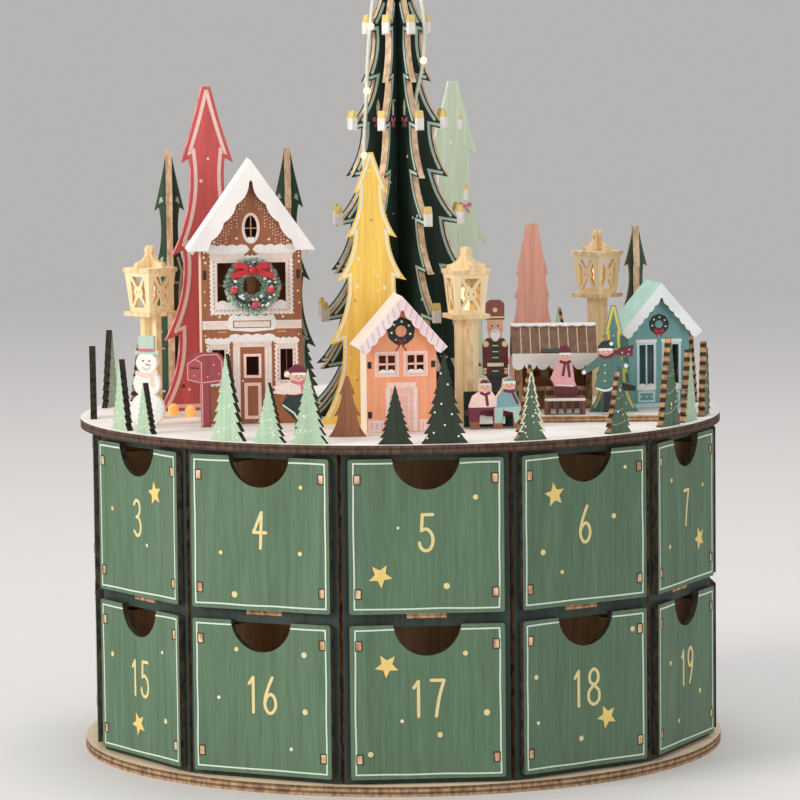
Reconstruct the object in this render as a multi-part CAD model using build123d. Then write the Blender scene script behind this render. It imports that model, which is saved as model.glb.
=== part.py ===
from build123d import *
import math
import os

# A round wooden advent calendar: two rings of twelve drawers under a snowy village.
# Millimetres. Z is up, the origin is the centre of the underside and the front faces -Y.
# A place round the drum is an azimuth in degrees: 0 is the front, +90 is the right-hand side.

# Boards, fits and cuts
PLY = 3.0
BASE_PLY = 4.5
DECK_PLY = 4.0
PLATFORM_PLY = 3.0
SLOT_CLEAR = 0.1
RUN_CLEAR = 0.3
SIDE_CLEAR = 0.4
OVERRUN = 1.0

# Drum: facade boards and drawer fronts
FACETS = 12
FIRST_UPPER, FIRST_LOWER = 5, 17
FRONT_WIDTH = 68.4
FRONT_HEIGHT = 68.4
FRONT_CORNER = 1.2
FRONT_DROP = 0.8
FRONT_LAP = 1.2
FRONT_GAP = 0.3
ROW_GAP = 4.9
NOTCH_RADIUS = 15.0
NOTCH_RISE = 1.2
FRAME_SIDE = 2.6
PANEL_GAP = 0.2
RIM_LIP = 1.6
SHELF_TAB = 17.4
PARTITION_TAB = 14.0
PARTITION_TAB_SHARES = (0.28, 0.72)

# Drawer trays
TAB_EDGE = 3.9
TAB_END = 9.0
TAB_HEIGHT = 4.4
TAB_CLEAR = 0.15
TRAY_STEP = 6.4
TRAY_DEPTH = 45.5
BAY_SPARE = 4.0

# Battery tub, cover and switch under the floor
CELL_DIAMETER = 14.5
CELL_LENGTH = 50.5
CELL_GAP = 0.6
CELL_CLEAR = 0.3
CONTACT_PLY = 0.8
SPRING_REACH = 2.0
SPRING_RADIUS = 3.5
TUB_WALL = 1.6
TUB_FLANGE = 5.0
SCREW_BAY = 8.0
SCREW_RADIUS = 1.4
SCREW_HEAD_RADIUS = 2.8
SCREW_HEAD_HEIGHT = 1.2
BOSS_RADIUS = 3.2
COVER_PLY = 2.5
COVER_RECESS = 0.8
KNOB_LENGTH = 5.0
KNOB_WIDTH = 4.0
KNOB_TRAVEL = 3.0
KNOB_FOOT = 2.0
KNOB_FOOT_HEIGHT = 1.6
KNOB_SPACING = 16.0

# Light cable and bulbs
WIRE_DIAMETER = 1.8
LAMP_WIRE_DIAMETER = 1.4
WIRE_HOLE_RADIUS = 12.0
WIRE_CLEAR = 0.2
BULB_RADIUS = 1.7
LED_RADIUS = 2.5
LED_HEIGHT = 3.0
LED_STEM_RADIUS = 1.5
LED_STEM_HEIGHT = 7.0
ARC_SHARE = 0.45
LAMP_WIRE_BEND = 5.0
LAMP_WIRE_DROP = 6.4
WIRE_START_SHARE = 0.7
TREE_WIRE_ROUTE = (
    (7.4, -5.8, 20.0), (7.4, -5.8, 300.0), (11.9, -7.7, 318.0), (12.9, -8.1, 338.0), (9.2, -6.9, 358.0),
    (5.0, -10.6, 378.0), (0.0, -11.4, 388.0), (-5.0, -10.6, 378.0), (-11.0, -7.3, 352.0),
    (-13.8, -8.4, 326.0), (-15.2, -9.0, 298.0), (-16.6, -9.6, 272.0), (-15.7, -9.2, 256.0))
TREE_BULB_SHARES = (0.60, 0.66, 0.72, 0.78, 0.84, 0.90, 0.96)

# Trees: sizes, then the places of their branch tips
TREE_TIP = 2.4
UNDERCUT_SHARE = 0.06
SAG_SHARE = 0.08
CROWN_SAG_SHARE = 0.012
TAB_WIDTH = 6.0
LEG_SHARE = 0.6
GREAT_HEIGHT, GREAT_RADIUS, GREAT_TIERS = 250.0, 48.0, 6
GREAT_ROOT_SHARE = 0.7
GREAT_CROWN_SHARE = 0.116
GREAT_FIRST_SHARE = 0.19
BARB_SHARE = 1.02
CANDLE_WIDTH = 2.6
CANDLE_HEIGHT = 9.2
CANDLE_INSET = 0.5
# Right half of a candle from the foot up, as shares of its width and height: wax, then a pointed flame
CANDLE_SHARES = ((0.5, 0), (0.5, 0.62), (0.36, 0.8), (0.1, 1))
RED_HEIGHT, RED_RADIUS = 153.0, 25.0
YELLOW_HEIGHT, YELLOW_RADIUS = 124.0, 24.0
MINT_HEIGHT, MINT_RADIUS = 153.0, 24.0
CORAL_HEIGHT, CORAL_RADIUS = 84.0, 15.0
RED_TIP, MINT_TIP, CORAL_TIP, BROWN_TIP = 4.0, 4.6, 5.4, 1.2
LEFT_PINE_HEIGHT, LEFT_PINE_RADIUS = 122.0, 14.5
HOUSE_PINE_HEIGHT, HOUSE_PINE_RADIUS = 123.0, 15.0
RIGHT_PINE_HEIGHT, RIGHT_PINE_RADIUS = 83.0, 11.0
TEAL_TREE_HEIGHT, TEAL_TREE_RADIUS = 49.0, 11.5
BROWN_TREE_HEIGHT, BROWN_TREE_RADIUS = 27.0, 8.4
ROOT_SHARE = 0.68
CORAL_ROOT_SHARE = 0.86
# Branch tips from the crown down: distance from the trunk and height, as shares of a tree's radius and height
TALL_TIP_SHARES = ((0.50, 0.766), (0.70, 0.48), (0.85, 0.22), (1, 0))
MANY_TIP_SHARES = ((0.33, 0.85), (0.49, 0.687), (0.66, 0.53), (0.82, 0.295), (1, 0))
CONE_TIP_SHARES = ((0.52, 0.70), (0.60, 0.57), (0.74, 0.38), (0.88, 0.18), (1, 0))
SMALL_TIP_SHARES = ((0.42, 0.70), (0.72, 0.34), (1, 0))

# Ring of small toothed pines: azimuth, then height and width as shares of the tallest one
RIM_TREE_HEIGHT = 40.0
RIM_TREE_WIDTH = 20.5
RIM_TREE_INSET = 6.0
RIM_TEETH = 9
TOOTH_SHARE = 0.13
RIM_TREE_SHARES = (
    (-109.7, 0.92, 0.85), (-88.4, 0.84, 0.8), (-65.4, 0.80, 0.8), (-56.9, 0.57, 0.65), (-36.2, 0.96, 0.87),
    (-27.8, 0.66, 0.73), (-20.4, 0.83, 0.81), (-5.2, 0.65, 0.75), (3.4, 0.98, 1.0), (19.0, 0.83, 0.73),
    (37.9, 0.68, 0.7), (53.0, 1.0, 0.85), (61.5, 0.82, 0.8), (73.0, 0.86, 0.8), (88.0, 0.7, 0.75),
    (101.0, 0.92, 0.85), (115.0, 0.66, 0.7), (128.0, 0.85, 0.8), (142.0, 0.98, 0.95), (156.0, 0.7, 0.75),
    (169.0, 0.88, 0.85), (183.0, 0.64, 0.7), (196.0, 0.95, 0.9), (210.0, 0.76, 0.8), (224.0, 0.9, 0.85),
    (237.0, 0.68, 0.72))

# Houses: width, eave height, gable height and depth, with window places on the front
BROWN_WIDTH, BROWN_EAVE, BROWN_GABLE, BROWN_DEPTH = 46.0, 83.3, 115.8, 23.0
PEACH_WIDTH, PEACH_EAVE, PEACH_GABLE, PEACH_DEPTH = 31.6, 39.0, 56.8, 20.0
TEAL_WIDTH, TEAL_EAVE, TEAL_GABLE, TEAL_DEPTH = 29.0, 37.0, 53.8, 20.0
STALL_WIDTH, STALL_EAVE, STALL_GABLE, STALL_DEPTH = 35.4, 27.0, 35.0, 20.0
COUNTER_HEIGHT = 9.0
COUNTER_LEDGE = 2.0
COUNTER_REACH = 5.0
BROWN_OVERHANG, PEACH_OVERHANG, TEAL_OVERHANG, STALL_OVERHANG = 3.75, 2.3, 2.8, 5.0
ROOF_FRONT = 3.0
ROOF_BACK = 2.0
BARGE_PLY = 2.0
BROWN_BARGE, PEACH_BARGE, TEAL_BARGE = 5.2, 4.0, 4.4
# Scallops of a barge board: number on a slope, how far they drop, radius as a share of their spacing
BROWN_SCALLOPS, BROWN_SCALLOP_DROP, BROWN_SCALLOP_SHARE = 4, 2.1, 1.15
PEACH_SCALLOPS, PEACH_SCALLOP_DROP, PEACH_SCALLOP_SHARE = 5, 1.0, 0.75
TEAL_SCALLOPS, TEAL_SCALLOP_DROP, TEAL_SCALLOP_SHARE = 6, 0.7, 0.75
SCALLOP_LEAD_SHARE = 0.3
STALL_SCALLOPS = 7
CANOPY_DROP = 2.4
# Each window: centre across and up, width and height, as shares of the house's width and gable height
BROWN_WINDOW_SHARES = ((-0.19, 0.551, 0.30, 0.176), (0.19, 0.551, 0.30, 0.176), (0, 0.23, 0.125, 0.0745),
                       (-0.34, 0.234, 0.125, 0.1236), (0.34, 0.234, 0.125, 0.1236))
BROWN_OVAL_SHARES = (0, 0.775, 0.129, 0.103)
PEACH_WINDOW_SHARES = ((-0.205, 0.54, 0.232, 0.137), (0.205, 0.54, 0.232, 0.137))
TEAL_WINDOW_SHARES = ((-0.207, 0.364, 0.238, 0.368), (0.207, 0.364, 0.238, 0.368))
WREATH_RADIUS = 13.0
WREATH_TUBE = 4.4
WREATH_GAP = 0.2

# Raised snow platform on the right of the deck
PLATFORM_WIDTH = 84.0
PLATFORM_LENGTH = 62.0
PLATFORM_CORNER = 14.0
PLATFORM_INSET = 12.0

# Street lamps
POST_WIDTH = 10.6
POST_HEIGHT = 48.0
LANTERN_PLATE = 17.6
LANTERN_LID = 18.0
LANTERN_PLY = 2.0
CAGE_FOOT = 13.2
CAGE_HEIGHT = 18.4
CAGE_WALL = 1.6
CAGE_TAPER = 5.5
CAGE_FRAME = 2.0
LATTICE_BAR = 1.4
LATTICE_RING = 2.9
BELL_WIDTH = 18.8
BELL_HEIGHT = 6.4
BELL_NECK = 4.4
BELL_SHOULDER_SHARES = (0.93, 0.34)
BELL_HOLLOW_SHARES = (0.44, 0.60)
FINIAL_RADIUS = 2.5
FINIAL_SINK_SHARE = 0.35
FINIAL_FLAT_SHARE = 0.85
LAMPS = ("left_lamp", "middle_lamp", "right_lamp")

# Figures, flat boards: height and width, with outlines as shares of both
SNOWMAN_HEIGHT, SNOWMAN_WIDTH = 41.0, 16.0
SNOWBALL_SHARES = ((0.175, 0.50), (0.47, 0.40), (0.70, 0.31))
HAT_BRIM_SHARES = (0.74, 0.035, 0.815)
HAT_CROWN_SHARES = (0.46, 0.19, 0.905)
MAILBOX_HEIGHT, MAILBOX_WIDTH = 34.0, 17.0
MAILBOX_BODY_SHARE = 0.42
MAILBOX_POST_SHARE = 0.24
MAILBOX_ROUND_SHARE = 0.3
NUTCRACKER_HEIGHT, NUTCRACKER_WIDTH = 54.0, 12.0
NUTCRACKER_SHARES = (
    (-0.42, 0), (0.42, 0), (0.40, 0.10), (0.30, 0.12), (0.32, 0.34), (0.48, 0.36), (0.50, 0.62), (0.36, 0.66),
    (0.24, 0.68), (0.30, 0.74), (0.30, 0.82), (0.36, 0.84), (0.36, 0.97), (0.20, 1.0), (-0.20, 1.0),
    (-0.36, 0.97), (-0.36, 0.84), (-0.30, 0.82), (-0.30, 0.74), (-0.24, 0.68), (-0.36, 0.66), (-0.50, 0.62),
    (-0.48, 0.36), (-0.32, 0.34), (-0.30, 0.12), (-0.40, 0.10))
LEFT_SKATER_HEIGHT, LEFT_SKATER_WIDTH = 30.0, 20.0
LEFT_SKATER_SHARES = (
    (0.02, 0), (0.26, 0), (0.24, 0.08), (0.20, 0.12), (0.32, 0.36), (0.28, 0.56), (0.48, 0.48), (0.50, 0.56),
    (0.30, 0.72), (0.26, 0.76), (0.32, 0.86), (0.22, 0.97), (0.04, 1.0), (-0.08, 0.93), (-0.20, 0.90),
    (-0.20, 0.81), (-0.08, 0.80), (-0.04, 0.74), (-0.14, 0.72), (-0.46, 0.66), (-0.50, 0.57), (-0.14, 0.54),
    (-0.28, 0.38), (0.06, 0.14), (0.02, 0.08))
RIGHT_SKATER_HEIGHT, RIGHT_SKATER_WIDTH = 34.0, 25.0
RIGHT_SKATER_SHARES = (
    (-0.10, 0), (0.08, 0), (0.04, 0.30), (0.20, 0.32), (0.48, 0.31), (0.50, 0.38), (0.22, 0.44), (0.14, 0.64),
    (0.30, 0.62), (0.34, 0.69), (0.18, 0.76), (0.44, 0.78), (0.46, 0.93), (0.08, 0.87), (0.10, 0.94),
    (0.04, 1.0), (-0.12, 0.98), (-0.20, 0.90), (-0.14, 0.82), (-0.16, 0.79), (-0.48, 0.60), (-0.45, 0.54),
    (-0.15, 0.66), (-0.26, 0.34), (-0.08, 0.30))
SEATED_HEIGHT, SEATED_WIDTH = 24.0, 24.0
SEATED_SHARES = (
    (-0.46, 0), (-0.30, 0), (-0.28, 0.34), (-0.04, 0.36), (-0.02, 0), (0.14, 0), (0.16, 0.34), (0.34, 0.30),
    (0.36, 0), (0.50, 0), (0.50, 0.42), (0.40, 0.66), (0.38, 0.74), (0.40, 0.88), (0.30, 0.98), (0.16, 0.94),
    (0.14, 0.78), (0.02, 0.60), (-0.06, 0.72), (-0.06, 0.84), (-0.14, 0.96), (-0.28, 0.94), (-0.32, 0.80),
    (-0.30, 0.70), (-0.42, 0.62), (-0.50, 0.40))
CHILD_HEIGHT, CHILD_WIDTH = 24.0, 13.0
CHILD_SHARES = (
    (-0.30, 0), (0.42, 0), (0.50, 0.10), (0.34, 0.30), (0.30, 0.55), (0.20, 0.64), (0.26, 0.76), (0.22, 0.90),
    (0.06, 1.0), (-0.14, 0.96), (-0.20, 0.84), (-0.16, 0.66), (-0.34, 0.56), (-0.50, 0.34), (-0.40, 0.26))
BENCH_WIDTH, BENCH_HEIGHT, BENCH_SEAT, BENCH_DEPTH = 25.0, 16.0, 8.0, 8.0
BENCH_SLAT = 2.0
SLED_WIDTH, SLED_HEIGHT, SLED_DEPTH = 18.6, 8.0, 9.0
SLED_RUNNER = 2.0

# Places on the deck: azimuth, distance as a share of the deck's radius, azimuth that the front faces
PLACE_SHARES = {
    "great_tree": (0, 0, 0), "red_tree": (-105.6, 0.613, 10), "yellow_tree": (-16.8, 0.382, -2),
    "mint_tree": (158.0, 0.595, 10), "coral_tree": (132.9, 0.636, 0), "left_pine": (-114.4, 0.776, 0),
    "house_pine": (-134.7, 0.463, 0), "right_pine": (113.3, 0.861, 0), "teal_tree": (63.3, 0.71, -6),
    "brown_tree": (-16.3, 0.755, -5), "brown_house": (-57.8, 0.559, 1), "peach_house": (-3.9, 0.627, 4),
    "teal_house": (73.7, 0.82, 8), "stall": (73.8, 0.488, -4), "left_lamp": (-84.5, 0.781, 41),
    "middle_lamp": (25.2, 0.414, 12), "right_lamp": (122.0, 0.798, 41), "nutcracker": (56.2, 0.34, -4),
    "right_skater": (57.2, 0.725, -4), "sled": (50.4, 0.617, -4), "bench": (23.0, 0.615, 2),
    "left_skater": (-34.9, 0.63, -6), "snowman": (-70.5, 0.842, -20), "mailbox": (-58.9, 0.723, -10),
    "platform": (68.9, 0.655, -4), "left_light": (-91.0, 0.71, 0), "house_light": (-86.0, 0.66, 0)}

# Worked out from the sizes above
HALF_FACET = math.pi / FACETS
FACET_TURN = 360 / FACETS
SLOPE = math.tan(HALF_FACET)
PANEL_WIDTH = FRONT_WIDTH + 2 * FRAME_SIDE
FACADE_IN = (PANEL_WIDTH / 2 + PANEL_GAP) / SLOPE
FACADE_OUT = FACADE_IN + PLY
FRONT_IN = FACADE_OUT + FRONT_GAP
FRONT_OUT = FRONT_IN + PLY
DECK_RADIUS = math.hypot(FRONT_OUT, FRONT_WIDTH / 2) + RIM_LIP
BAY_HEIGHT = FRONT_HEIGHT + ROW_GAP - PLY
FLOOR_TOP = BASE_PLY + PLY
SHELF_BOTTOM = FLOOR_TOP + BAY_HEIGHT
SHELF_TOP = SHELF_BOTTOM + PLY
DECK_BOTTOM = SHELF_TOP + BAY_HEIGHT
DECK_TOP = DECK_BOTTOM + DECK_PLY
FRONT_BOTTOM = RUN_CLEAR - FRONT_DROP
TRAY_HEIGHT = FRONT_HEIGHT - TRAY_STEP
TRAY_HALF = FRONT_WIDTH / 2 - TAB_EDGE + PLY / 2
TRAY_BACK = FRONT_IN - TRAY_DEPTH
PARTITION_IN = TRAY_BACK - BAY_SPARE
PARTITION_OUT = (FACADE_IN - PLY / 2 * math.sin(HALF_FACET) - SLOT_CLEAR) / math.cos(HALF_FACET)
COVER_TOP = COVER_RECESS + COVER_PLY
CELL_AXIS = COVER_TOP + CELL_CLEAR + CELL_DIAMETER / 2
TUB_CEILING = CELL_AXIS + CELL_DIAMETER / 2 + CELL_CLEAR
TUB_TOP = TUB_CEILING + TUB_WALL
CELL_BAY = CELL_LENGTH + 2 * (CONTACT_PLY + SPRING_REACH)
TUB_LENGTH = CELL_BAY + SCREW_BAY + 2 * TUB_WALL
TUB_WIDTH = 2 * CELL_DIAMETER + CELL_GAP + 2 * (CELL_CLEAR + TUB_WALL)
CELL_MIDDLE = -SCREW_BAY / 2
SCREW_X = (TUB_LENGTH - SCREW_BAY) / 2 - TUB_WALL
KNOB_X = TUB_LENGTH / 2 + KNOB_SPACING

# Slots that the standing boards need in what carries them
deck_slots = []
platform_slots = []


def block(x_span, y_span, z_span):
    """A box between two values on each axis."""
    size = [high - low for low, high in (x_span, y_span, z_span)]
    return Pos(x_span[0], y_span[0], z_span[0]) * Box(*size, align=(Align.MIN, Align.MIN, Align.MIN))


def polygon(points):
    """A flat face with straight sides."""
    return make_face(Polyline(*points, close=True))


def shaped(shares, width, height):
    """A flat outline from shares of its width and height."""
    return polygon([(across * width, up * height) for across, up in shares])


def facet_plane(azimuth, height=0.0):
    """The drum's own plane at an azimuth: x along the facet, y up, z away from the axis."""
    angle = math.radians(azimuth)
    outwards = (math.sin(angle), -math.cos(angle), 0)
    along = (math.cos(angle), math.sin(angle), 0)
    return Plane(origin=(0, 0, height), x_dir=along, z_dir=outwards)


def village_plane(name, lift=0.0, turn=0.0):
    """The plane of a board that stands on the deck: x to its right, y up, z to its front."""
    azimuth, distance_share, facing = PLACE_SHARES[name]
    return board_plane(azimuth, distance_share * DECK_RADIUS, facing + turn, lift)


def board_plane(azimuth, distance, facing, lift=0.0):
    """The plane of a standing board at an azimuth and distance, turned to face another azimuth."""
    angle = math.radians(azimuth)
    plane = facet_plane(facing)
    plane.origin = (distance * math.sin(angle), -distance * math.cos(angle), DECK_TOP + lift)
    return plane


def stand(face, plane, tabs, back=PLY / 2, carrier=deck_slots, depth=DECK_PLY):
    """A board on its feet, with tabs through what carries it, and the slots for them."""
    span = (-back, PLY - back)
    board = Pos(0, 0, -back) * extrude(face, amount=PLY)
    for middle, width in tabs:
        across = (middle - width / 2, middle + width / 2)
        board += block(across, (-depth, 0), span)
        slot = block((across[0] - SLOT_CLEAR, across[1] + SLOT_CLEAR), (-depth - OVERRUN, OVERRUN),
                     (span[0] - SLOT_CLEAR, span[1] + SLOT_CLEAR))
        carrier.append(plane.location * slot)
    return plane.location * board


def tray_side(z):
    """Half width of the tray over its side boards, at a distance from the drum's axis."""
    return TRAY_HALF - (FRONT_IN - z) * SLOPE


def upright(points, low, high):
    """A prism on a plan of x and z, between two heights in y."""
    plan = Plane.XZ.offset(-low) * polygon(points)
    return extrude(plan, amount=high - low, dir=(0, 1, 0))


def drawer():
    """One drawer's front, side, back and bottom boards, in its facet's plane above its runner."""
    wall = PLY / math.cos(HALF_FACET)
    tab_heights = (FRONT_BOTTOM + TAB_END, FRONT_BOTTOM + FRONT_HEIGHT - TAB_END)
    tab_middle = TRAY_HALF - PLY / 2
    top = RUN_CLEAR + TRAY_HEIGHT
    inner_back = TRAY_BACK + PLY

    face = Pos(0, FRONT_BOTTOM + FRONT_HEIGHT / 2) * RectangleRounded(FRONT_WIDTH, FRONT_HEIGHT, FRONT_CORNER)
    face -= Pos(0, FRONT_BOTTOM + FRONT_HEIGHT + NOTCH_RISE) * Circle(NOTCH_RADIUS)
    slot = Rectangle(PLY + 2 * TAB_CLEAR, TAB_HEIGHT + 2 * TAB_CLEAR)
    face -= [Pos(side * tab_middle, height) * slot for side in (-1, 1) for height in tab_heights]
    boards = [Pos(0, 0, FRONT_IN) * extrude(face, amount=PLY)]

    for side in (-1, 1):
        corners = [(tray_side(FRONT_IN), FRONT_IN), (tray_side(TRAY_BACK), TRAY_BACK),
                   (tray_side(TRAY_BACK) - wall, TRAY_BACK), (tray_side(FRONT_IN) - wall, FRONT_IN)]
        cheek = upright([(side * x, z) for x, z in corners], RUN_CLEAR, top)
        for height in tab_heights:
            across = sorted((side * (TRAY_HALF - PLY), side * TRAY_HALF))
            cheek += block(across, (height - TAB_HEIGHT / 2, height + TAB_HEIGHT / 2), (FRONT_IN, FRONT_OUT))
        boards.append(cheek)

    outer, inner = tray_side(TRAY_BACK) - wall, tray_side(inner_back) - wall
    rear = [(-outer, TRAY_BACK), (outer, TRAY_BACK), (inner, inner_back), (-inner, inner_back)]
    boards.append(upright(rear, RUN_CLEAR, top))
    mouth = tray_side(FRONT_IN) - wall
    floor = [(-inner, inner_back), (inner, inner_back), (mouth, FRONT_IN), (-mouth, FRONT_IN)]
    boards.append(upright(floor, RUN_CLEAR, RUN_CLEAR + PLY))
    return boards


def facade_panel():
    """One ladder-shaped facade board: two drawer openings and the notch for the shelf's tab."""
    height = DECK_BOTTOM - BASE_PLY
    face = Pos(0, BASE_PLY + height / 2) * Rectangle(PANEL_WIDTH, height)
    opening_width = 2 * (TRAY_HALF + SIDE_CLEAR)
    for runner in (FLOOR_TOP, SHELF_TOP):
        opening_height = FRONT_BOTTOM + FRONT_HEIGHT - FRONT_LAP
        face -= Pos(0, runner + opening_height / 2) * Rectangle(opening_width, opening_height)
    notch_width = SHELF_TAB + 2 * SLOT_CLEAR
    notch_height = PLY + 2 * SLOT_CLEAR
    face -= Pos(0, SHELF_BOTTOM + PLY / 2) * Rectangle(notch_width, notch_height)
    return Pos(0, 0, FACADE_IN) * extrude(face, amount=PLY)


def partition(low, tabs):
    """One radial partition between the drawers, with tabs as (height span, place share) pairs."""
    thick = (-PLY / 2, PLY / 2)
    board = block(thick, (low, low + BAY_HEIGHT), (PARTITION_IN, PARTITION_OUT))
    for span, share in tabs:
        board += block(thick, span, tab_span(share))
    return board


def tab_span(share, clear=0.0):
    """Where a partition's tab starts and ends along its radius."""
    middle = PARTITION_IN + share * (PARTITION_OUT - PARTITION_IN)
    return (middle - PARTITION_TAB / 2 - clear, middle + PARTITION_TAB / 2 + clear)


def partition_slots(shares, low, high):
    """Slots for the partitions' tabs in a plate between two heights."""
    thick = (-PLY / 2 - SLOT_CLEAR, PLY / 2 + SLOT_CLEAR)
    height = (low - OVERRUN, high + OVERRUN)
    slots = [block(thick, height, tab_span(share, SLOT_CLEAR)) for share in shares]
    return [facet_plane(FACET_TURN * (k + 0.5)).location * slot for k in range(FACETS) for slot in slots]


def twelve_sided(apothem, low, high):
    """A plate with as many sides as the drum has facets."""
    reach = apothem / math.cos(HALF_FACET)
    corners = [(reach * math.cos((2 * k + 1) * HALF_FACET), reach * math.sin((2 * k + 1) * HALF_FACET))
               for k in range(FACETS)]
    return Pos(0, 0, low) * extrude(polygon(corners), amount=high - low)


def drum():
    """Base, floor, facade, partitions and shelf."""
    inner_share, outer_share = PARTITION_TAB_SHARES
    through = (-OVERRUN, FLOOR_TOP + OVERRUN)
    hatch = block((-TUB_LENGTH / 2 - RUN_CLEAR, TUB_LENGTH / 2 + RUN_CLEAR),
                  (-TUB_WIDTH / 2 - RUN_CLEAR, TUB_WIDTH / 2 + RUN_CLEAR), through)
    knob_reach = KNOB_LENGTH / 2 + RUN_CLEAR
    knob_slot = block((KNOB_X - knob_reach, KNOB_X + knob_reach + KNOB_TRAVEL),
                      (-KNOB_WIDTH / 2 - RUN_CLEAR, KNOB_WIDTH / 2 + RUN_CLEAR), through)
    disc = Cylinder(DECK_RADIUS, BASE_PLY, align=(Align.CENTER, Align.CENTER, Align.MIN))

    shelf = twelve_sided(FACADE_IN, SHELF_BOTTOM, SHELF_TOP)
    shelf_span = (SHELF_BOTTOM, SHELF_TOP)
    shelf_tab = block((-SHELF_TAB / 2, SHELF_TAB / 2), shelf_span, (FACADE_IN - PLY, FACADE_OUT))
    shelf += [facet_plane(FACET_TURN * k).location * shelf_tab for k in range(FACETS)]
    shelf -= Pos(0, 0, SHELF_BOTTOM) * Cylinder(WIRE_HOLE_RADIUS, 2 * BAY_HEIGHT)

    lower = partition(FLOOR_TOP, [((BASE_PLY, FLOOR_TOP), inner_share), (shelf_span, outer_share)])
    upper = partition(SHELF_TOP, [(shelf_span, inner_share)])
    between = [facet_plane(FACET_TURN * (k + 0.5)).location for k in range(FACETS)]
    return {
        "base_plate": [disc - hatch - knob_slot],
        "floor_plate": [twelve_sided(FACADE_IN, BASE_PLY, FLOOR_TOP) - hatch - knob_slot
                        - partition_slots([inner_share], BASE_PLY, FLOOR_TOP)],
        "facade_panels": [facet_plane(FACET_TURN * k).location * facade_panel() for k in range(FACETS)],
        "partitions": [place * board for place in between for board in (lower, upper)],
        "middle_shelf": [shelf - partition_slots(PARTITION_TAB_SHARES, SHELF_BOTTOM, SHELF_TOP)]}


def drawers():
    """All twenty-four drawers, numbered to the right from behind the left-hand side."""
    nodes = {}
    for first, zero, runner in ((1, FIRST_UPPER, SHELF_TOP), (FACETS + 1, FIRST_LOWER, FLOOR_TOP)):
        for number in range(first, first + FACETS):
            place = facet_plane(FACET_TURN * (number - zero), runner).location
            nodes[f"drawer_{number:02d}"] = [place * board for board in drawer()]
    return nodes


def battery():
    """Battery tub in the floor's hatch, its cells, contacts, cover, screw and slide switch."""
    half_length, half_width = TUB_LENGTH / 2, TUB_WIDTH / 2
    tub = block((-half_length, half_length), (-half_width, half_width), (COVER_TOP, TUB_TOP))
    tub += block((-half_length - TUB_FLANGE, half_length + TUB_FLANGE),
                 (-half_width - TUB_FLANGE, half_width + TUB_FLANGE), (FLOOR_TOP, FLOOR_TOP + TUB_WALL))
    tub -= block((-half_length + TUB_WALL, half_length - TUB_WALL),
                 (-half_width + TUB_WALL, half_width - TUB_WALL), (COVER_TOP - OVERRUN, TUB_CEILING))
    boss_height = TUB_CEILING - COVER_TOP
    upwards = (Align.CENTER, Align.CENTER, Align.MIN)
    screw_spot = Pos(SCREW_X, 0, 0)
    tub += screw_spot * Pos(0, 0, COVER_TOP) * Cylinder(BOSS_RADIUS, boss_height, align=upwards)
    screw = Cylinder(SCREW_HEAD_RADIUS, SCREW_HEAD_HEIGHT, align=upwards)
    screw += Cylinder(SCREW_RADIUS, COVER_PLY + boss_height / 2, align=upwards)
    screw = screw_spot * Pos(0, 0, COVER_RECESS) * screw
    tub -= screw_spot * Pos(0, 0, COVER_TOP - OVERRUN) * Cylinder(SCREW_RADIUS + SLOT_CLEAR,
                                                                 boss_height / 2 + 2 * OVERRUN, align=upwards)
    cover = block((-half_length, half_length), (-half_width, half_width), (COVER_RECESS, COVER_TOP))
    sink = COVER_RECESS + SCREW_HEAD_HEIGHT
    cover -= screw_spot * Cylinder(SCREW_RADIUS + SLOT_CLEAR, COVER_TOP + OVERRUN, align=upwards)
    cover -= screw_spot * Cylinder(SCREW_HEAD_RADIUS + SLOT_CLEAR, sink, align=upwards)

    cells, contacts = [], []
    cell = Rot(0, 90, 0) * Cylinder(CELL_DIAMETER / 2, CELL_LENGTH)
    plate = (CELL_DIAMETER - 2 * TUB_WALL) / 2
    for side in (-1, 1):
        row = side * (CELL_DIAMETER + CELL_GAP) / 2
        cells.append(Pos(CELL_MIDDLE, row, CELL_AXIS) * cell)
        for end in (-1, 1):
            wall = CELL_MIDDLE + end * CELL_BAY / 2
            contact = block(sorted((wall, wall - end * CONTACT_PLY)), (row - plate, row + plate),
                            (CELL_AXIS - plate, TUB_CEILING))
            spring = Pos(wall - end * (CONTACT_PLY + SPRING_REACH / 2), row, CELL_AXIS) * Rot(0, 90, 0)
            contacts.append(contact + spring * Cylinder(SPRING_RADIUS, SPRING_REACH))

    foot_top = FLOOR_TOP + RUN_CLEAR + KNOB_FOOT_HEIGHT
    foot_x = (KNOB_X - KNOB_LENGTH / 2 - KNOB_FOOT, KNOB_X + KNOB_LENGTH / 2 + KNOB_FOOT)
    foot_y = KNOB_WIDTH / 2 + KNOB_FOOT
    slider = block((KNOB_X - KNOB_LENGTH / 2, KNOB_X + KNOB_LENGTH / 2), (-KNOB_WIDTH / 2, KNOB_WIDTH / 2),
                   (COVER_RECESS, foot_top))
    slider += block(foot_x, (-foot_y, foot_y), (FLOOR_TOP + RUN_CLEAR, foot_top))
    room_x = (foot_x[0] - RUN_CLEAR, foot_x[1] + KNOB_TRAVEL + RUN_CLEAR)
    room_y = foot_y + RUN_CLEAR
    room_top = foot_top + RUN_CLEAR
    housing = block((room_x[0] - TUB_WALL, room_x[1] + TUB_WALL), (-room_y - TUB_WALL, room_y + TUB_WALL),
                    (FLOOR_TOP, room_top + TUB_WALL))
    housing -= block(room_x, (-room_y, room_y), (FLOOR_TOP - OVERRUN, room_top))
    return {"battery_tub": [tub, housing], "switch_slider": [slider], "battery_cover": [cover],
            "cover_screw": [screw], "battery_cells": cells, "battery_contacts": contacts}


def even_tips(tiers, crown_share, first_share):
    """Branch tips from the crown down, as shares of a tree's radius and height."""
    steps = [tier / (tiers - 1) for tier in range(tiers)]
    return [(first_share + (1 - first_share) * step, (1 - crown_share) * (1 - step)) for step in steps]


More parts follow.
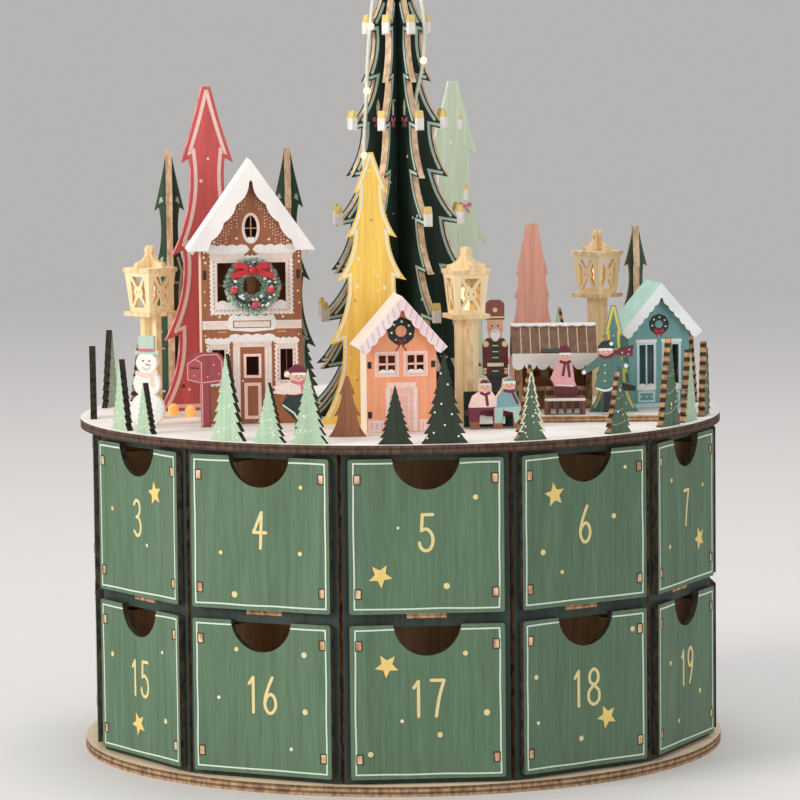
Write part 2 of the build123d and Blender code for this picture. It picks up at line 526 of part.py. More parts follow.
def barbed_tips(tips):
    """Branch tips with a smaller barb halfway down to the next branch."""
    barbed = []
    for (radius_share, height_share), (_, next_share) in zip(tips, tips[1:]):
        barbed += [(radius_share, height_share), (radius_share * BARB_SHARE, (height_share + next_share) / 2)]
    return barbed + tips[-1:]


def branch_edges(height, radius, tips, root_share, tip_width, side):
    """One side of a tree's outline: hollow branches, each with a short undercut."""
    edges = []
    start = (tip_width / 2, height)
    sag_share = CROWN_SAG_SHARE
    for radius_share, height_share in tips:
        tip = (radius * radius_share, height * height_share)
        drop, reach = start[1] - tip[1], tip[0] - start[0]
        middle = ((start[0] + tip[0]) / 2 - sag_share * drop, (start[1] + tip[1]) / 2 - sag_share * reach)
        edges.append(ThreePointArc(*[(side * x, y) for x, y in (start, middle, tip)]))
        sag_share = SAG_SHARE
        start = (tip[0] * root_share, tip[1] + UNDERCUT_SHARE * drop)
        if height_share > 0:
            edges.append(Line((side * tip[0], tip[1]), (side * start[0], start[1])))
    return edges


def tree_face(height, radius, tips, root_share=ROOT_SHARE, tip_width=TREE_TIP):
    """A whole tree, both sides, standing on its lowest branches."""
    crown = Line((-tip_width / 2, height), (tip_width / 2, height))
    edges = [crown, Line((-radius, 0), (radius, 0))]
    for side in (-1, 1):
        edges += branch_edges(height, radius, tips, root_share, tip_width, side)
    return make_face(edges)


def two_legs(radius):
    """Tabs of a crossed tree, clear of the slot in its middle."""
    return [(-LEG_SHARE * radius, TAB_WIDTH), (LEG_SHARE * radius, TAB_WIDTH)]


def crossed_boards(face, height, radius, name, turn=0.0):
    """Two boards that slide into each other: one is slotted from the top, one from the foot."""
    gap = PLY + 2 * SLOT_CLEAR
    upper = face - Pos(0, height) * Rectangle(gap, height)
    lower = face - Rectangle(gap, height + 2 * SLOT_CLEAR)
    return [stand(upper, village_plane(name, turn=turn), two_legs(radius)),
            stand(lower, village_plane(name, turn=turn + 90), two_legs(radius))]


def crossed_tree(name, height, radius):
    """A tree of two crossed boards."""
    return crossed_boards(tree_face(height, radius, TALL_TIP_SHARES), height, radius, name)


def great_tree():
    """The tall pine: two crossed boards, four half boards between them, candles on the branch tips."""
    tips = even_tips(GREAT_TIERS, GREAT_CROWN_SHARE, GREAT_FIRST_SHARE)
    face = tree_face(GREAT_HEIGHT, GREAT_RADIUS, barbed_tips(tips), GREAT_ROOT_SHARE)
    right = [(across * CANDLE_WIDTH, up * CANDLE_HEIGHT) for across, up in CANDLE_SHARES]
    candle = polygon(right + [(-x, y) for x, y in reversed(right)])
    for radius_share, height_share in tips[1:-1]:
        tip = (GREAT_RADIUS * radius_share - CANDLE_INSET - CANDLE_WIDTH / 2, GREAT_HEIGHT * height_share)
        face += [Pos(side * tip[0], tip[1]) * candle for side in (-1, 1)]
    quarter = 90 / 4
    boards = crossed_boards(face, GREAT_HEIGHT, GREAT_RADIUS, "great_tree", quarter)
    inner = PLY / 2 * (1 + math.cos(math.pi / 4)) / math.sin(math.pi / 4) + SLOT_CLEAR
    reach = 2 * GREAT_RADIUS
    half = face - Pos(inner - reach, 0) * Rectangle(2 * reach, 4 * GREAT_HEIGHT)
    for k in range(4):
        plane = village_plane("great_tree", turn=-quarter + 90 * k + 90)
        boards.append(stand(half, plane, two_legs(GREAT_RADIUS)[1:]))
    return boards


def single_tree(name, face, **carried):
    """A tree of one board."""
    return stand(face, village_plane(name, carried.pop("lift", 0.0)), [(0, TAB_WIDTH)], **carried)


def toothed_face(height, width):
    """A small pine with saw teeth down both edges."""
    right = []
    for tooth in range(RIM_TEETH):
        low = 1 - (tooth + 1) / RIM_TEETH
        right += [(width / 2 * (1 - low), height * low),
                  (width / 2 * (1 - low) - TOOTH_SHARE * width * (1 - low), height * low)]
    right = right[:-1]
    left = [(-x, y) for x, y in reversed(right)]
    return polygon([(0, height)] + right + left)


def rim_trees():
    """The ring of small pines, each facing outwards, and the brown one beside the peach house."""
    boards = []
    for azimuth, height_share, width_share in RIM_TREE_SHARES:
        width = width_share * RIM_TREE_WIDTH
        plane = board_plane(azimuth, DECK_RADIUS - RIM_TREE_INSET, azimuth)
        boards.append(stand(toothed_face(height_share * RIM_TREE_HEIGHT, width), plane, [(0, TAB_WIDTH)]))
    brown = tree_face(BROWN_TREE_HEIGHT, BROWN_TREE_RADIUS, SMALL_TIP_SHARES, tip_width=BROWN_TIP)
    boards.append(single_tree("brown_tree", brown))
    return boards


def window_cuts(shares, width, height):
    """Rectangles for the windows of a house front."""
    return [Pos(across * width, up * height) * Rectangle(wide * width, tall * height)
            for across, up, wide, tall in shares]


def house_walls(size, plane, windows, side_heights, **carried):
    """Front and back gables on tabs, and the two side boards between them."""
    width, eave, gable, depth = size
    face = polygon([(-width / 2, 0), (width / 2, 0), (width / 2, eave), (0, gable), (-width / 2, eave)])
    tabs = [(-width / 4, TAB_WIDTH), (width / 4, TAB_WIDTH)]
    boards = [stand(face - windows if windows else face, plane, tabs, back=PLY, **carried),
              stand(face, plane, tabs, back=depth, **carried)]
    for side, height in zip((-1, 1), side_heights):
        across = sorted((side * (width / 2 - PLY), side * width / 2))
        boards.append(plane.location * block(across, (0, height), (-depth + PLY, -PLY)))
    return boards


def roof_lines(size):
    """Steepness of a roof, and the outer normal of its right slope."""
    width, eave, gable, _ = size
    steep = (gable - eave) / (width / 2)
    length = math.hypot(steep, 1)
    return steep, (steep / length, 1 / length)


def house_roof(size, plane, overhang, barge_drop, scallops, level_ends=False):
    """Two roof boards that meet at the ridge, and a barge board with scallops under its front edge."""
    width, eave, gable, depth = size
    steep, normal = roof_lines(size)
    end = (width / 2 + overhang, eave - overhang * steep)
    end_top = (end[0] + PLY * normal[0], end[1] + PLY * normal[1])
    ridge_top = gable + PLY / normal[1]
    slope = [(0, gable), end, end_top, (0, ridge_top)]
    barge_end = (end_top[0] - barge_drop * normal[0], end_top[1] - barge_drop * normal[1])
    barge_ridge = ridge_top - barge_drop / normal[1]
    count, scallop_drop, radius_share = scallops
    spaces = count + SCALLOP_LEAD_SHARE
    round_radius = radius_share * math.hypot(barge_end[0], barge_ridge - barge_end[1]) / spaces
    lift = round_radius - scallop_drop
    boards = []
    barge = None
    for side in (-1, 1):
        board = extrude(polygon([(side * x, y) for x, y in slope]), amount=depth + ROOF_FRONT + ROOF_BACK)
        boards.append(plane.location * Pos(0, 0, -depth - ROOF_BACK) * board)
        strip = polygon([(side * x, y) for x, y in ((0, barge_ridge), barge_end, end_top, (0, ridge_top))])
        barge = strip if barge is None else barge + strip
        for k in range(count):
            along = (k + 0.5 + SCALLOP_LEAD_SHARE) / spaces
            spot = (side * (barge_end[0] * along + lift * normal[0]),
                    barge_ridge + (barge_end[1] - barge_ridge) * along + lift * normal[1])
            barge += Pos(*spot) * Circle(round_radius)
    outline = [(0, ridge_top), end_top]
    if not level_ends:
        deep = barge_drop + scallop_drop
        outline.append((end_top[0] - deep * normal[0], end_top[1] - deep * normal[1]))
    barge &= polygon(outline + [(-x, y) for x, y in reversed(outline[1:])])
    front = plane.location * Pos(0, 0, ROOF_FRONT)
    return boards + [front * extrude(barge, amount=BARGE_PLY)]


def market_stall():
    """The stall: a small house turned sideways, its front wall low and topped by a counter."""
    size = (STALL_DEPTH, STALL_EAVE, STALL_GABLE, STALL_WIDTH)
    plane = village_plane("stall", PLATFORM_PLY, -90)
    middle = plane.location * Pos(0, 0, STALL_WIDTH / 2)
    plane = Plane(middle)
    walls = house_walls(size, plane, None, (STALL_EAVE, COUNTER_HEIGHT), carrier=platform_slots,
                        depth=PLATFORM_PLY)
    front = STALL_DEPTH / 2
    ledge = block((front - PLY, front + COUNTER_REACH), (COUNTER_HEIGHT, COUNTER_HEIGHT + COUNTER_LEDGE),
                  (-STALL_WIDTH + PLY, -PLY))
    walls.append(plane.location * ledge)

    steep, normal = roof_lines(size)
    end = (front + STALL_OVERHANG, STALL_EAVE - STALL_OVERHANG * steep)
    end_top = (end[0] + PLY * normal[0], end[1] + PLY * normal[1])
    slope = [(0, STALL_GABLE), end, end_top, (0, STALL_GABLE + PLY / normal[1])]
    length = STALL_WIDTH + 2 * ROOF_BACK
    roof = [plane.location * Pos(0, 0, -STALL_WIDTH - ROOF_BACK)
            * extrude(polygon([(side * x, y) for x, y in slope]), amount=length) for side in (-1, 1)]
    rise = end_top[1] - end[1]
    canopy = Pos(end[1] + rise / 2, -STALL_WIDTH / 2) * Rectangle(rise + CANOPY_DROP, length)
    scallop = length / STALL_SCALLOPS
    for k in range(STALL_SCALLOPS):
        spot = (end[1] - CANOPY_DROP / 2, -STALL_WIDTH - ROOF_BACK + scallop * (k + 0.5))
        canopy += Pos(*spot) * Circle(scallop / 2)
    roof.append(plane.location * Pos(end_top[0], 0, 0) * extrude(Plane.YZ * canopy, amount=BARGE_PLY))
    return walls, roof


def houses():
    """The three houses, the stall and the wreath on the brown house."""
    brown = (BROWN_WIDTH, BROWN_EAVE, BROWN_GABLE, BROWN_DEPTH)
    peach = (PEACH_WIDTH, PEACH_EAVE, PEACH_GABLE, PEACH_DEPTH)
    teal = (TEAL_WIDTH, TEAL_EAVE, TEAL_GABLE, TEAL_DEPTH)
    brown_plane = village_plane("brown_house")
    peach_plane = village_plane("peach_house")
    teal_plane = village_plane("teal_house", PLATFORM_PLY)
    across, up, wide, tall = BROWN_OVAL_SHARES
    oval = Ellipse(wide * BROWN_WIDTH / 2, tall * BROWN_GABLE / 2)
    oval = Pos(across * BROWN_WIDTH, up * BROWN_GABLE) * oval
    on_platform = {"carrier": platform_slots, "depth": PLATFORM_PLY}
    wreath_up = BROWN_WINDOW_SHARES[0][1] * BROWN_GABLE
    wreath = Pos(0, wreath_up, WREATH_TUBE + WREATH_GAP) * Torus(WREATH_RADIUS - WREATH_TUBE, WREATH_TUBE)
    stall_walls, stall_roof = market_stall()
    return {
        "brown_house_walls": house_walls(brown, brown_plane,
                                         window_cuts(BROWN_WINDOW_SHARES, BROWN_WIDTH, BROWN_GABLE) + [oval],
                                         (BROWN_EAVE, BROWN_EAVE)),
        "brown_house_roof": house_roof(brown, brown_plane, BROWN_OVERHANG, BROWN_BARGE,
                                       (BROWN_SCALLOPS, BROWN_SCALLOP_DROP, BROWN_SCALLOP_SHARE), True),
        "brown_house_wreath": [brown_plane.location * wreath],
        "peach_house_walls": house_walls(peach, peach_plane,
                                         window_cuts(PEACH_WINDOW_SHARES, PEACH_WIDTH, PEACH_GABLE),
                                         (PEACH_EAVE, PEACH_EAVE)),
        "peach_house_roof": house_roof(peach, peach_plane, PEACH_OVERHANG, PEACH_BARGE,
                                       (PEACH_SCALLOPS, PEACH_SCALLOP_DROP, PEACH_SCALLOP_SHARE)),
        "teal_house_walls": house_walls(teal, teal_plane,
                                        window_cuts(TEAL_WINDOW_SHARES, TEAL_WIDTH, TEAL_GABLE),
                                        (TEAL_EAVE, TEAL_EAVE), **on_platform),
        "teal_house_roof": house_roof(teal, teal_plane, TEAL_OVERHANG, TEAL_BARGE,
                                      (TEAL_SCALLOPS, TEAL_SCALLOP_DROP, TEAL_SCALLOP_SHARE)),
        "market_stall_walls": stall_walls,
        "market_stall_roof": stall_roof}


def lamp_place(name):
    """Where a lamp stands: its own frame has z up."""
    azimuth, distance_share, facing = PLACE_SHARES[name]
    angle = math.radians(azimuth)
    distance = distance_share * DECK_RADIUS
    return Pos(distance * math.sin(angle), -distance * math.cos(angle), DECK_TOP) * Rot(0, 0, facing)


def crossed_profile(face, narrow):
    """A profile as one whole board and two half boards against it, upright on z."""
    whole = Pos(0, narrow / 2, 0) * extrude(Plane.XZ * face, amount=narrow)
    keep = Pos(-narrow / 2, 0, 0) * extrude(Plane.YZ * face, amount=narrow)
    return [whole] + list((keep - whole).solids())


def lattice_cut():
    """What is cut out of a lantern's side: its window less the crossed bars and the ring."""
    width, height = CAGE_FOOT - 2 * CAGE_FRAME, CAGE_HEIGHT - 2 * CAGE_FRAME
    window = Rectangle(width, height)
    diagonal = math.hypot(width, height)
    lean = math.degrees(math.atan2(height, width))
    window -= [Rot(0, 0, side * lean) * Rectangle(diagonal, LATTICE_BAR) for side in (-1, 1)]
    window -= Circle(LATTICE_RING) - Circle(LATTICE_RING - LATTICE_BAR)
    return window


def lamp():
    """A street lamp's post boards and its lantern: plates, lattice cage and bell roof with its finial."""
    upwards = (Align.CENTER, Align.CENTER, Align.MIN)
    post_face = Pos(0, POST_HEIGHT / 2) * Rectangle(POST_WIDTH, POST_HEIGHT)
    post = crossed_profile(post_face, PLY)
    plate = Pos(0, 0, POST_HEIGHT) * Box(LANTERN_PLATE, LANTERN_PLATE, LANTERN_PLY, align=upwards)
    corner = PLY / 2 + LAMP_WIRE_DIAMETER / 2 + WIRE_CLEAR
    plate -= Pos(corner, corner, POST_HEIGHT) * Cylinder(LAMP_WIRE_DIAMETER / 2 + SLOT_CLEAR, 4 * LANTERN_PLY)
    cage_foot = POST_HEIGHT + LANTERN_PLY
    cage = extrude(Rectangle(CAGE_FOOT, CAGE_FOOT), amount=CAGE_HEIGHT, taper=-CAGE_TAPER)
    inside = CAGE_FOOT - 2 * CAGE_WALL
    cage -= extrude(Rectangle(inside, inside), amount=CAGE_HEIGHT, taper=-CAGE_TAPER)
    holes = Pos(0, CAGE_HEIGHT / 2) * lattice_cut()
    cage -= [extrude(plane * holes, amount=LANTERN_LID, both=True) for plane in (Plane.XZ, Plane.YZ)]
    lid_foot = cage_foot + CAGE_HEIGHT
    lid = Pos(0, 0, lid_foot) * Box(LANTERN_LID, LANTERN_LID, LANTERN_PLY, align=upwards)
    half, neck = BELL_WIDTH / 2, BELL_NECK / 2
    edges = [Line((-half, 0), (half, 0)), Line((-neck, BELL_HEIGHT), (neck, BELL_HEIGHT))]
    for side in (-1, 1):
        shoulder, hollow = [(side * across * half, up * BELL_HEIGHT)
                            for across, up in (BELL_SHOULDER_SHARES, BELL_HOLLOW_SHARES)]
        edges.append(Line((side * half, 0), shoulder))
        edges.append(ThreePointArc(shoulder, hollow, (side * neck, BELL_HEIGHT)))
    bell = make_face(edges)
    ball = BELL_HEIGHT + FINIAL_RADIUS * (1 - FINIAL_SINK_SHARE)
    bell += Pos(0, ball) * Circle(FINIAL_RADIUS)
    above = Rectangle(4 * FINIAL_RADIUS, 2 * FINIAL_RADIUS)
    bell -= Pos(0, ball + FINIAL_RADIUS * (1 + FINIAL_FLAT_SHARE)) * above
    roof = [Pos(0, 0, lid_foot + LANTERN_PLY) * board for board in crossed_profile(bell, LANTERN_PLY)]
    return post, [plate, Pos(0, 0, cage_foot) * cage, lid] + roof


def rounded_route(points, largest):
    """A path of straight runs, its arcs as large as the runs beside them and the largest bend allow."""
    points = [Vector(*point) for point in points]
    radii = []
    for before, corner, after in zip(points, points[1:], points[2:]):
        turn = math.radians((corner - before).get_angle(after - corner))
        shorter = min((corner - before).length, (after - corner).length)
        radii.append(min(largest, ARC_SHARE * shorter / math.tan(turn / 2)))
    print("cable arcs", [round(radius, 1) for radius in radii])
    return FilletPolyline(*points, radius=radii)


def post_corner(name):
    """Where a lamp's cable climbs, in the inner corner of its post's boards."""
    corner = PLY / 2 + LAMP_WIRE_DIAMETER / 2 + WIRE_CLEAR
    return lamp_place(name) * Pos(corner, corner, 0)


def lamp_route(name):
    """From the battery tub up to the deck, out under it, and up a lamp's post into its lantern."""
    foot = post_corner(name).position
    reach = WIRE_START_SHARE * WIRE_HOLE_RADIUS / math.hypot(foot.X, foot.Y)
    start = (reach * foot.X, reach * foot.Y)
    under = DECK_BOTTOM - LAMP_WIRE_DROP
    return ((*start, TUB_TOP), (*start, under), (foot.X, foot.Y, under),
            (foot.X, foot.Y, DECK_TOP + POST_HEIGHT + LANTERN_PLY))


def cable(points, diameter, largest=math.inf):
    """A round cable along a rounded route."""
    path = rounded_route(points, largest)
    return sweep(path.location_at(0) * Circle(diameter / 2), path=path), path


def lights():
    """The cable over the great tree, the cables to the lamps, and the bulbs."""
    tree_cable, path = cable(TREE_WIRE_ROUTE, WIRE_DIAMETER)
    cables = [tree_cable]
    bulbs = []
    for share in TREE_BULB_SHARES:
        spot = path.position_at(share)
        forwards = Vector(0, -(WIRE_DIAMETER / 2 + BULB_RADIUS + SLOT_CLEAR), 0)
        bulbs.append(Pos(spot + forwards) * Sphere(BULB_RADIUS))
    upwards = (Align.CENTER, Align.CENTER, Align.MIN)
    led = Cylinder(LED_RADIUS, LED_HEIGHT, align=upwards) + Pos(0, 0, LED_HEIGHT) * Sphere(LED_RADIUS)
    led -= Pos(0, 0, -LED_HEIGHT) * Cylinder(2 * LED_RADIUS, LED_HEIGHT, align=upwards)
    for name in ("left_light", "house_light"):
        bulbs.append(lamp_place(name) * led)
    stem = Cylinder(LED_STEM_RADIUS, LED_STEM_HEIGHT, align=upwards)
    raised = stem + Pos(0, 0, LED_STEM_HEIGHT) * led
    for name in LAMPS:
        bulbs.append(lamp_place(name) * Pos(0, 0, POST_HEIGHT + LANTERN_PLY) * raised)
        cables.append(cable(lamp_route(name), LAMP_WIRE_DIAMETER, LAMP_WIRE_BEND)[0])
    return cables, bulbs


def snowman():
    """A snowman of three balls with a hat, cut flat at the foot."""
    face = None
    for up_share, radius_share in SNOWBALL_SHARES:
        ball = Pos(0, up_share * SNOWMAN_HEIGHT) * Circle(radius_share * SNOWMAN_WIDTH)
        face = ball if face is None else face + ball
    for wide, tall, up in (HAT_BRIM_SHARES, HAT_CROWN_SHARES):
        face += Pos(0, up * SNOWMAN_HEIGHT) * Rectangle(wide * SNOWMAN_WIDTH, tall * SNOWMAN_HEIGHT)
    face -= Pos(0, -SNOWMAN_HEIGHT / 2) * Rectangle(2 * SNOWMAN_WIDTH, SNOWMAN_HEIGHT)
    return stand(face, village_plane("snowman"), [(0, TAB_WIDTH)])


def mailbox():
    """A round-cornered box on a post."""
    body = MAILBOX_BODY_SHARE * MAILBOX_HEIGHT
    face = Pos(0, MAILBOX_HEIGHT / 2) * Rectangle(MAILBOX_POST_SHARE * MAILBOX_WIDTH, MAILBOX_HEIGHT)
    front = RectangleRounded(MAILBOX_WIDTH, body, MAILBOX_ROUND_SHARE * body)
    face += Pos(0, MAILBOX_HEIGHT - body / 2) * front
    return stand(face, village_plane("mailbox"), [(0, MAILBOX_POST_SHARE * MAILBOX_WIDTH)])


def bench():
    """A slatted bench and the board of the two people who sit on it."""
    plane = village_plane("bench")
    back = Pos(0, BENCH_HEIGHT / 2) * Rectangle(BENCH_WIDTH, BENCH_HEIGHT)
    back -= Pos(0, BENCH_SEAT / 2) * Rectangle(BENCH_WIDTH - 2 * TAB_WIDTH, BENCH_SEAT - BENCH_SLAT)
    legs = [(side * (BENCH_WIDTH - TAB_WIDTH) / 2, TAB_WIDTH / 2) for side in (-1, 1)]
    back_board = stand(back, plane, legs, back=BENCH_DEPTH + PLY)
    seat = block((-BENCH_WIDTH / 2, BENCH_WIDTH / 2), (BENCH_SEAT - BENCH_SLAT, BENCH_SEAT),
                 (-BENCH_DEPTH, 0))
    people = stand(shaped(SEATED_SHARES, SEATED_WIDTH, SEATED_HEIGHT), plane,
                   [((SEATED_SHARES[0][0] + SEATED_SHARES[1][0]) / 2 * SEATED_WIDTH, PLY)], back=0)
    return [back_board, plane.location * seat, people]


def sled():
    """A slatted sled on two runners, and the child's board on it."""
    plane = village_plane("sled", PLATFORM_PLY)
    boards = []
    half = SLED_WIDTH / 2
    for side in (-1, 1):
        across = sorted((side * (half - SLED_RUNNER), side * half))
        boards.append(plane.location * block(across, (0, SLED_HEIGHT - SLED_RUNNER), (-SLED_DEPTH, 0)))
    seat = block((-half, half), (SLED_HEIGHT - SLED_RUNNER, SLED_HEIGHT), (-SLED_DEPTH, 0))
    boards.append(plane.location * seat)
    child = extrude(shaped(CHILD_SHARES, CHILD_WIDTH, CHILD_HEIGHT), amount=PLY)
    return boards + [plane.location * Pos(0, SLED_HEIGHT, -(SLED_DEPTH + PLY) / 2) * child]


def figures():
    """Nutcracker, two skaters, mailbox, the bench couple and the child on the sled."""
    soldier = shaped(NUTCRACKER_SHARES, NUTCRACKER_WIDTH, NUTCRACKER_HEIGHT)
    nutcracker = stand(soldier, village_plane("nutcracker"), [(0, TAB_WIDTH)])
    skater = shaped(LEFT_SKATER_SHARES, LEFT_SKATER_WIDTH, LEFT_SKATER_HEIGHT)
    foot = (LEFT_SKATER_SHARES[0][0] + LEFT_SKATER_SHARES[1][0]) / 2 * LEFT_SKATER_WIDTH
    left = stand(skater, village_plane("left_skater"), [(foot, PLY)])
    skater = shaped(RIGHT_SKATER_SHARES, RIGHT_SKATER_WIDTH, RIGHT_SKATER_HEIGHT)
    foot = (RIGHT_SKATER_SHARES[0][0] + RIGHT_SKATER_SHARES[1][0]) / 2 * RIGHT_SKATER_WIDTH
    right = stand(skater, village_plane("right_skater", PLATFORM_PLY), [(foot, PLY)],
                  carrier=platform_slots, depth=PLATFORM_PLY)
    return [nutcracker, left, right, mailbox()] + bench() + sled()


def deck():
    """The snow deck and the raised platform, with a slot for every tab."""
    upwards = (Align.CENTER, Align.CENTER, Align.MIN)
    snow = Pos(0, 0, DECK_BOTTOM) * Cylinder(DECK_RADIUS, DECK_PLY, align=upwards)
    snow -= Pos(*TREE_WIRE_ROUTE[0][:2], DECK_TOP) * Cylinder(WIRE_DIAMETER / 2 + WIRE_CLEAR, 4 * DECK_PLY)
    lamp_hole = Cylinder(LAMP_WIRE_DIAMETER / 2 + WIRE_CLEAR, 4 * DECK_PLY)
    snow -= [post_corner(name) * lamp_hole for name in LAMPS]
    azimuth, distance_share, facing = PLACE_SHARES["platform"]
    angle = math.radians(azimuth)
    distance = distance_share * DECK_RADIUS
    spot = Pos(distance * math.sin(angle), -distance * math.cos(angle)) * Rot(0, 0, facing)
    plan = spot * RectangleRounded(PLATFORM_WIDTH, PLATFORM_LENGTH, PLATFORM_CORNER)
    plan = plan & Circle(DECK_RADIUS - PLATFORM_INSET)
    platform = Pos(0, 0, DECK_TOP) * extrude(plan, amount=PLATFORM_PLY)
    return {"snow_deck": [snow - deck_slots], "snow_platform": [platform - platform_slots]}


def village():
    """Everything that stands on the deck."""
    lamps = [(lamp_place(name), lamp()) for name in LAMPS]
    red = tree_face(RED_HEIGHT, RED_RADIUS, TALL_TIP_SHARES, tip_width=RED_TIP)
    yellow = tree_face(YELLOW_HEIGHT, YELLOW_RADIUS, MANY_TIP_SHARES)
    mint = tree_face(MINT_HEIGHT, MINT_RADIUS, TALL_TIP_SHARES, tip_width=MINT_TIP)
    coral = tree_face(CORAL_HEIGHT, CORAL_RADIUS, CONE_TIP_SHARES, CORAL_ROOT_SHARE, CORAL_TIP)
    teal = tree_face(TEAL_TREE_HEIGHT, TEAL_TREE_RADIUS, SMALL_TIP_SHARES)
    nodes = {
        "great_tree": great_tree(),
        "red_tree": [single_tree("red_tree", red)],
        "yellow_tree": [single_tree("yellow_tree", yellow)],
        "mint_tree": [single_tree("mint_tree", mint)],
        "coral_tree": [single_tree("coral_tree", coral)],
        "teal_tree": [single_tree("teal_tree", teal, lift=PLATFORM_PLY, carrier=platform_slots,
                                  depth=PLATFORM_PLY)],
        "back_pines": (crossed_tree("left_pine", LEFT_PINE_HEIGHT, LEFT_PINE_RADIUS)
                       + crossed_tree("house_pine", HOUSE_PINE_HEIGHT, HOUSE_PINE_RADIUS)
                       + crossed_tree("right_pine", RIGHT_PINE_HEIGHT, RIGHT_PINE_RADIUS)),
        "rim_trees": rim_trees(),
        "lamp_posts": [place * board for place, (post, _) in lamps for board in post],
        "lanterns": [place * piece for place, (_, lantern) in lamps for piece in lantern],
        "snowman": [snowman()],
        "village_figures": figures()}
    nodes.update(houses())
    nodes["light_cable"], nodes["light_bulbs"] = lights()
    return nodes


def save(nodes):
    """Writes each node's solids to its own file."""
    os.makedirs("parts", exist_ok=True)
    for name, shapes in nodes.items():
        solids = [solid for shape in shapes for solid in shape.solids()]
        export_step(Compound(children=solids), f"parts/{name}.step")


standing = village()
save({**drum(), **drawers(), **battery(), **standing, **deck()})
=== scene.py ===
import logging
import math
import random
from collections import defaultdict
from dataclasses import dataclass
from enum import Enum
from typing import Callable, Optional, Sequence

import bmesh
import bpy
from mathutils import Matrix, Vector


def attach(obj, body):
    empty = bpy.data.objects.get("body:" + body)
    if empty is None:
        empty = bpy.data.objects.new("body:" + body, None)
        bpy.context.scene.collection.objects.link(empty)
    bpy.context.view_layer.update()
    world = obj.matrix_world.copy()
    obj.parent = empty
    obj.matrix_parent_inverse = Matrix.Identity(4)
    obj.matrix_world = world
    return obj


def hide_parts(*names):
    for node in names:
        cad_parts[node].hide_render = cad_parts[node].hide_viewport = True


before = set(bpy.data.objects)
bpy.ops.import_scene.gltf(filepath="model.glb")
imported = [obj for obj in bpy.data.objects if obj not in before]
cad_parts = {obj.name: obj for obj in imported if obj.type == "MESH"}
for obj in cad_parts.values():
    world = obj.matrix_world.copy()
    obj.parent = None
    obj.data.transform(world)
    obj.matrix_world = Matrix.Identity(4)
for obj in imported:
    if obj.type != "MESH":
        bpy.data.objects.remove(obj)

LOG = logging.getLogger("advent_calendar")
MM = 0.001
CALENDAR = "calendar"
DECK_RADIUS = 150.0
DECK_TOP = 155.1
SHELF_TOP = 80.8
FLOOR_TOP = 7.5
FRONT_OUT = 144.4
FRONT_SIZE = 68.4
PLATFORM_PLY = 3.0
HALF_PLY = 1.5
# Each window: centre across and up, width and height, as shares of the house's width and gable height
BROWN_WINDOWS = ((-0.19, 0.551, 0.30, 0.176), (0.19, 0.551, 0.30, 0.176), (0, 0.23, 0.125, 0.0745),
                 (-0.34, 0.234, 0.125, 0.1236), (0.34, 0.234, 0.125, 0.1236))
BROWN_OVAL = (0, 0.775, 0.129, 0.103)
PEACH_WINDOWS = ((-0.205, 0.54, 0.232, 0.137), (0.205, 0.54, 0.232, 0.137))
TEAL_WINDOWS = ((-0.207, 0.364, 0.238, 0.368), (0.207, 0.364, 0.238, 0.368))

Rgb = tuple[int, int, int]
Point = tuple[float, float]
Span = tuple[float, float, float, float]
Tree = bpy.types.NodeTree
Socket = bpy.types.NodeSocket


class Ink(Enum):
    """Printing inks and small paints, as sRGB bytes."""

    MINT_LINE = (220, 233, 219)
    SAGE_LINE = (200, 222, 205)
    GOLD = (232, 212, 150)
    STAR_GOLD = (240, 210, 124)
    CREAM = (240, 232, 200)
    WHITE = (244, 240, 236)
    SNOW_SHADE = (226, 218, 224)
    PALE_PINK = (254, 218, 208)
    ICING = (240, 220, 208)
    DOOR_PINK = (250, 196, 180)
    LILAC = (208, 190, 212)
    BOW_PINK = (214, 116, 134)
    BOW_RED = (200, 36, 44)
    DEEP_RED = (120, 36, 36)
    MAROON = (112, 40, 58)
    SKIN = (236, 190, 166)
    CHEEK = (224, 142, 128)
    EYE = (40, 30, 30)
    DARK_GREEN = (34, 54, 46)
    WREATH_GREEN = (24, 38, 32)
    SLOT_DARK = (38, 22, 16)
    SCORCH = (58, 36, 24)
    WOOD_TAN = (206, 164, 118)
    YELLOW_LINE = (226, 204, 96)
    PLANK_LINE = (206, 178, 140)
    BLUE_COAT = (128, 166, 172)
    TEAL_CLOTH = (108, 162, 158)
    PALE_TEAL = (172, 200, 192)
    SKATE_GREEN = (84, 122, 114)
    HAIR_BROWN = (92, 58, 42)
    BOOT_BROWN = (150, 96, 66)
    # Painted glow of warm light inside the market stall
    AMBER = (238, 168, 76)
    PALE_BLUE = (206, 232, 236)
    CARROT = (222, 128, 66)
    BOX_FRONT = (172, 80, 84)
    BOX_LINE = (226, 158, 156)


class Grain(Enum):
    """Which way a board's grain runs: how far its pattern is drawn out along x, y and z."""

    UPRIGHT = (1.0, 1.0, 0.055)
    ACROSS = (0.055, 1.0, 1.0)


def linear(rgb: Rgb) -> tuple[float, float, float, float]:
    """An sRGB colour as the linear colour that a socket takes.

    Args:
        rgb: red, green and blue from 0 to 255.
    Returns:
        Linear red, green, blue and an alpha of one.
    """
    parts = [c / 255 for c in rgb]
    parts = [c / 12.92 if c <= 0.04045 else ((c + 0.055) / 1.055) ** 2.4 for c in parts]
    return parts[0], parts[1], parts[2], 1.0


def shade(rgb: Rgb, factor: float) -> Rgb:
    """A darker or lighter colour.

    Args:
        rgb: the colour to start from.
        factor: below one darkens, above one lightens.
    Returns:
        The changed colour.
    """
    return tuple(max(0, min(255, round(c * factor))) for c in rgb)


